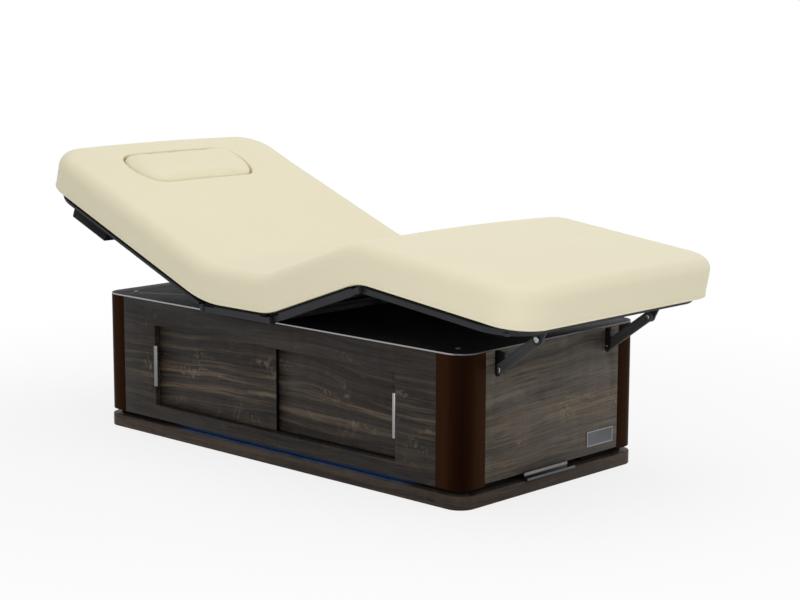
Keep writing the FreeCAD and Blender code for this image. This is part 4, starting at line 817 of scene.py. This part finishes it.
def cut_recess(piece):
    """Replace a block of the top's grid by rings that run down into the cushion's recess."""
    shape, top = piece.shape, piece.top
    places = [back_place(row[0].co).x for row in top]
    first = max(number for number, along in enumerate(places) if along < CUSHION_HEAD - RECESS_HEAD_MARGIN)
    last = next(number for number, along in enumerate(places) if along > CUSHION_FOOT + RECESS_FOOT_MARGIN)
    margin = next(column for column in range(COLUMNS + 1)
                  if abs(top[last][column].co.y) < CUSHION_HALF + RECESS_SIDE_MARGIN)
    left, right = margin, COLUMNS - margin
    inner = [top[row][column] for row in range(first + 1, last) for column in range(left + 1, right)]
    ring = ([top[first][column] for column in range(left, right)]
            + [top[row][right] for row in range(first, last)]
            + [top[last][column] for column in range(right, left, -1)]
            + [top[row][left] for row in range(last, first, -1)])
    bmesh.ops.delete(shape, geom=inner, context="VERTS")
    flat = [Vector((back_place(vert.co).x, vert.co.y)) for vert in ring]
    angles = [math.atan2((point - CUSHION_CENTRE).y, (point - CUSHION_CENTRE).x) for point in flat]
    loops = [ring]
    for share in RECESS_APPROACH_SHARES:
        loops.append([new_top_vert(shape, point.lerp(outline_at(angle, RECESS_APPROACH), share), 0.0)
                      for point, angle in zip(flat, angles)])
    for outset, drop in RECESS_EDGE:
        loops.append([new_top_vert(shape, outline_at(angle, outset), drop) for angle in angles])
    bridge(shape, loops)
    shape.faces.new(loops[-1])
    bmesh.ops.recalc_face_normals(shape, faces=shape.faces)


middle_of_seat = (BACK_BEND + seat_end - THIGH_BEND) / 2
middle_of_thigh = (THIGH_BEND + THIGH_LENGTH - KNEE_BEND) / 2


def make_mattress_back():
    piece = MattressPiece("mattress_back")
    piece.add_rounded_end(back, -BACK_LENGTH, 1, HEAD_TOP_RADIUS)
    stations = [back.station(along) for along in spaced(PLAN_RADIUS - BACK_LENGTH, -BACK_BEND)[1:]]
    piece.add_stations(stations[:HEAD_STATIONS], HEAD_TOP_RADIUS, BACK_TOP_RADIUS)
    piece.add_stations(stations[HEAD_STATIONS:], BACK_TOP_RADIUS)
    piece.add_stations(bend_stations(back.hinge, back.tilt, seat.tilt, BACK_BEND), BACK_TOP_RADIUS,
                       TOP_RADIUS)
    piece.add_stations(seat.station(along) for along in spaced(BACK_BEND, middle_of_seat))
    piece.build(open_start=False, open_end=True)
    cut_recess(piece)
    made = piece.finish()
    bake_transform(made)
    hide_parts("back_pad", "back_bend", "seat_pad")
    return made


def make_mattress_thigh():
    piece = MattressPiece("mattress_thigh")
    piece.add_stations(seat.station(along) for along in spaced(middle_of_seat, seat_end - THIGH_BEND))
    piece.add_stations(bend_stations(thigh.hinge, seat.tilt, thigh.tilt, THIGH_BEND))
    piece.add_stations(thigh.station(along) for along in spaced(THIGH_BEND, middle_of_thigh))
    piece.build(open_start=True, open_end=True)
    made = piece.finish()
    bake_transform(made)
    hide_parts("thigh_bend")
    return made


def make_mattress_leg():
    piece = MattressPiece("mattress_leg")
    piece.add_stations(thigh.station(along) for along in spaced(middle_of_thigh, THIGH_LENGTH - KNEE_BEND))
    piece.add_stations(bend_stations(leg.hinge, thigh.tilt, leg.tilt, KNEE_BEND))
    piece.add_stations(leg.station(along) for along in spaced(KNEE_BEND, LEG_LENGTH - PLAN_RADIUS)[:-1])
    piece.add_rounded_end(leg, LEG_LENGTH, -1, TOP_RADIUS)
    piece.build(open_start=True, open_end=False)
    made = piece.finish()
    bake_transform(made)
    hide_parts("thigh_pad", "knee_bend", "leg_pad")
    return made


for made in (make_mattress_back(), make_mattress_thigh(), make_mattress_leg()):
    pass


# Face cushion

def relax(piece, iterations):
    modifier = piece.modifiers.new("relax", "SMOOTH")
    modifier.factor = RELAX_FACTOR
    modifier.iterations = iterations


def swell(piece, keep_inside):
    """Swell a closed cover by a short cloth simulation, no point moved by more than COVER_SWELL."""
    def take_evaluated():
        depsgraph = bpy.context.evaluated_depsgraph_get()
        return bpy.data.meshes.new_from_object(piece.evaluated_get(depsgraph))

    remesh = piece.modifiers.new("remesh", "REMESH")
    remesh.mode = "VOXEL"
    remesh.voxel_size = COVER_VOXEL
    even = take_evaluated()
    piece.modifiers.clear()
    piece.data = even
    cloth = piece.modifiers.new("cloth", "CLOTH")
    cloth.settings.quality = COVER_QUALITY
    cloth.settings.mass = COVER_MASS
    cloth.settings.use_pressure = True
    cloth.settings.uniform_pressure_force = COVER_PRESSURE
    cloth.settings.effector_weights.gravity = 0.0
    cloth.collision_settings.use_collision = False
    cloth.point_cache.frame_start = 1
    cloth.point_cache.frame_end = COVER_FRAMES
    for number in range(1, COVER_FRAMES + 1):
        bpy.context.scene.frame_set(number)
    relax(piece, COVER_RELAX)
    swelled = take_evaluated()
    piece.modifiers.clear()
    for vert, moved in zip(even.vertices, swelled.vertices):
        step = moved.co - vert.co
        if step.length > COVER_SWELL:
            step *= COVER_SWELL / step.length
        vert.co = keep_inside(vert.co + step)
    bpy.context.scene.frame_set(1)
    relax(piece, COVER_LAST_RELAX)
    piece.modifiers.new("smooth", "SUBSURF").levels = 1
    piece.data = take_evaluated()
    piece.modifiers.clear()


def add_welt(shape):
    """Piping round the face cushion's outline, as a closed tube."""
    rings = []
    for number in range(WELT_COLUMNS):
        angle = 2 * math.pi * number / WELT_COLUMNS
        ring = []
        for corner in range(WELT_SIDES):
            turn = 2 * math.pi * corner / WELT_SIDES
            flat = outline_at(angle, WELT_OUTSET + WELT_RADIUS * math.cos(turn))
            height = SHOULDER - WELT_DROP + WELT_RADIUS * math.sin(turn)
            ring.append(shape.verts.new(back.point(flat.x, flat.y, height)))
        rings.append(ring)
    bridge(shape, rings + rings[:1])


def make_face_cushion():
    """Crowned cushion in the recess: its cover is swelled by a cloth simulation and gets its piping."""
    shape = bmesh.new()
    angles = [2 * math.pi * n / COVER_COLUMNS for n in range(COVER_COLUMNS)]
    levels = [(COVER_PROFILE[0][0], COVER_FLOOR)]
    levels += [(outset, SHOULDER + rise) for outset, rise in COVER_PROFILE]
    loops = []
    for outset, height in levels:
        loop = []
        for angle in angles:
            flat = outline_at(angle, outset)
            crowned = height > SHOULDER - COVER_CROWN_DROP
            lift = height + (crown_at(flat.y, SHOULDER, BACK_TOP_RADIUS) if crowned else 0)
            loop.append(shape.verts.new(back.point(flat.x, flat.y, lift)))
        loops.append(loop)
    bridge(shape, loops)
    shape.faces.new(loops[0][::-1])
    shape.faces.new(loops[-1])
    bmesh.ops.recalc_face_normals(shape, faces=shape.faces)
    made = link("face_cushion_cover", mesh_from(shape, "face_cushion_cover"))
    reach = [(outline_at(2 * math.pi * n / COVER_DIRECTIONS, -COVER_ROOM) - CUSHION_CENTRE).length
             for n in range(COVER_DIRECTIONS)]

    def keep_inside(place):
        """The place itself, or the nearest one to it that the recess has room for."""
        along, across, up = back_place(place)
        flat = Vector((along, across)) - CUSHION_CENTRE
        turn = math.atan2(flat.y, flat.x) / (2 * math.pi)
        limit = reach[round(turn * COVER_DIRECTIONS) % COVER_DIRECTIONS]
        if flat.length > limit:
            flat *= limit / flat.length
        flat += CUSHION_CENTRE
        return back.point(flat.x, flat.y, max(COVER_FLOOR, up))

    swell(made, keep_inside)
    shape = bmesh.new()
    shape.from_mesh(made.data)
    add_welt(shape)
    shape.to_mesh(made.data)
    shape.free()
    made.data.materials.clear()
    made.data.materials.append(materials["upholstery"])
    shade_smooth(made.data, COVER_SMOOTH)
    return made


cushion = make_face_cushion()
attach(cushion, "face_insert")
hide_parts("face_cushion")


# Camera, floor and light

def make_camera():
    forward = Vector((-math.sin(CAMERA_YAW) * math.cos(CAMERA_PITCH),
                      math.cos(CAMERA_YAW) * math.cos(CAMERA_PITCH), -math.sin(CAMERA_PITCH)))
    level = Vector((math.cos(CAMERA_YAW), math.sin(CAMERA_YAW), 0))
    above = level.cross(forward)
    right = level * math.cos(CAMERA_ROLL) + above * math.sin(CAMERA_ROLL)
    up = above * math.cos(CAMERA_ROLL) - level * math.sin(CAMERA_ROLL)
    camera = link("camera", bpy.data.cameras.new("camera"))
    camera.data.sensor_width = CAMERA_SENSOR
    camera.data.lens = CAMERA_LENS
    axes = Matrix((right, up, -forward)).transposed()
    camera.matrix_world = Matrix.Translation(CAMERA_PLACE) @ axes.to_4x4()
    bpy.context.scene.camera = camera


def seen_directly(tree):
    """1 for rays from the camera, and for reflected and refracted ones."""
    path = tree.nodes.new("ShaderNodeLightPath").outputs
    total = path["Is Camera Ray"]
    for name in ("Is Glossy Ray", "Is Transmission Ray"):
        add = tree.nodes.new("ShaderNodeMath")
        add.operation = "MAXIMUM"
        tree.links.new(total, add.inputs[0])
        tree.links.new(path[name], add.inputs[1])
        total = add.outputs[0]
    return total


def make_world():
    world = bpy.data.worlds.new("studio")
    bpy.context.scene.world = world
    world.use_nodes = True
    tree = world.node_tree
    background = tree.nodes["Background"]
    strength = tree.nodes.new("ShaderNodeMapRange")
    tree.links.new(seen_directly(tree), strength.inputs["Value"])
    strength.inputs["To Min"].default_value = SKY_STRENGTH
    strength.inputs["To Max"].default_value = 1.0
    background.inputs["Color"].default_value = (1, 1, 1, 1)
    tree.links.new(strength.outputs[0], background.inputs["Strength"])


def make_floor():
    """Pale floor that keeps the shadow near the bed, and is plain white further off."""
    shape = bmesh.new()
    bmesh.ops.create_circle(shape, cap_ends=True, segments=64, radius=FLOOR_RADIUS)
    floor = link("floor", mesh_from(shape, "floor"))
    floor.location.z = -FLOOR_DROP
    material = bpy.data.materials.new("floor")
    material.use_nodes = True
    tree = material.node_tree
    surface = tree.nodes["Principled BSDF"]
    surface.inputs["Base Color"].default_value = (0.84, 0.84, 0.85, 1)
    surface.inputs["Roughness"].default_value = 0.9
    surface.inputs["Specular IOR Level"].default_value = 0.1
    glow = tree.nodes.new("ShaderNodeEmission")
    direct = seen_directly(tree)
    tree.links.new(direct, glow.inputs["Strength"])
    place = tree.nodes.new("ShaderNodeTexCoord")
    length = tree.nodes.new("ShaderNodeVectorMath")
    length.operation = "LENGTH"
    tree.links.new(place.outputs["Object"], length.inputs[0])
    far = tree.nodes.new("ShaderNodeMapRange")
    far.interpolation_type = "SMOOTHSTEP"
    far.inputs["From Min"].default_value = SHADOW_NEAR
    far.inputs["From Max"].default_value = SHADOW_FAR
    far.inputs["To Min"].default_value = SHADOW_WHITE_SHARE
    tree.links.new(length.outputs["Value"], far.inputs["Value"])
    share = tree.nodes.new("ShaderNodeMath")
    share.operation = "MULTIPLY"
    tree.links.new(far.outputs[0], share.inputs[0])
    tree.links.new(direct, share.inputs[1])
    mix = tree.nodes.new("ShaderNodeMixShader")
    tree.links.new(share.outputs[0], mix.inputs[0])
    tree.links.new(surface.outputs[0], mix.inputs[1])
    tree.links.new(glow.outputs[0], mix.inputs[2])
    tree.links.new(mix.outputs[0], tree.nodes["Material Output"].inputs["Surface"])
    floor.data.materials.append(material)


def make_lamp(name, place, target, size, power):
    lamp = bpy.data.lights.new(name, "AREA")
    lamp.shape = "RECTANGLE"
    lamp.size, lamp.size_y = size
    lamp.energy = power
    holder = link(name, lamp)
    holder.location = place
    holder.rotation_euler = (Vector(target) - Vector(place)).to_track_quat("-Z", "Y").to_euler()


make_camera()
make_world()
make_floor()
make_lamp("overhead", (0.2, 0.3, 3.4), (0, 0, 0.5), (3.4, 2.6), 30)
make_lamp("foot_left", (2.2, -2.6, 1.0), (0.5, 0, 0.5), (1.6, 1.6), 19)
make_lamp("foot_right", (4.2, 4.0, 1.8), (0.4, 0, 0.5), (2.2, 2.2), 30)
bpy.context.scene.view_settings.view_transform = "Standard"
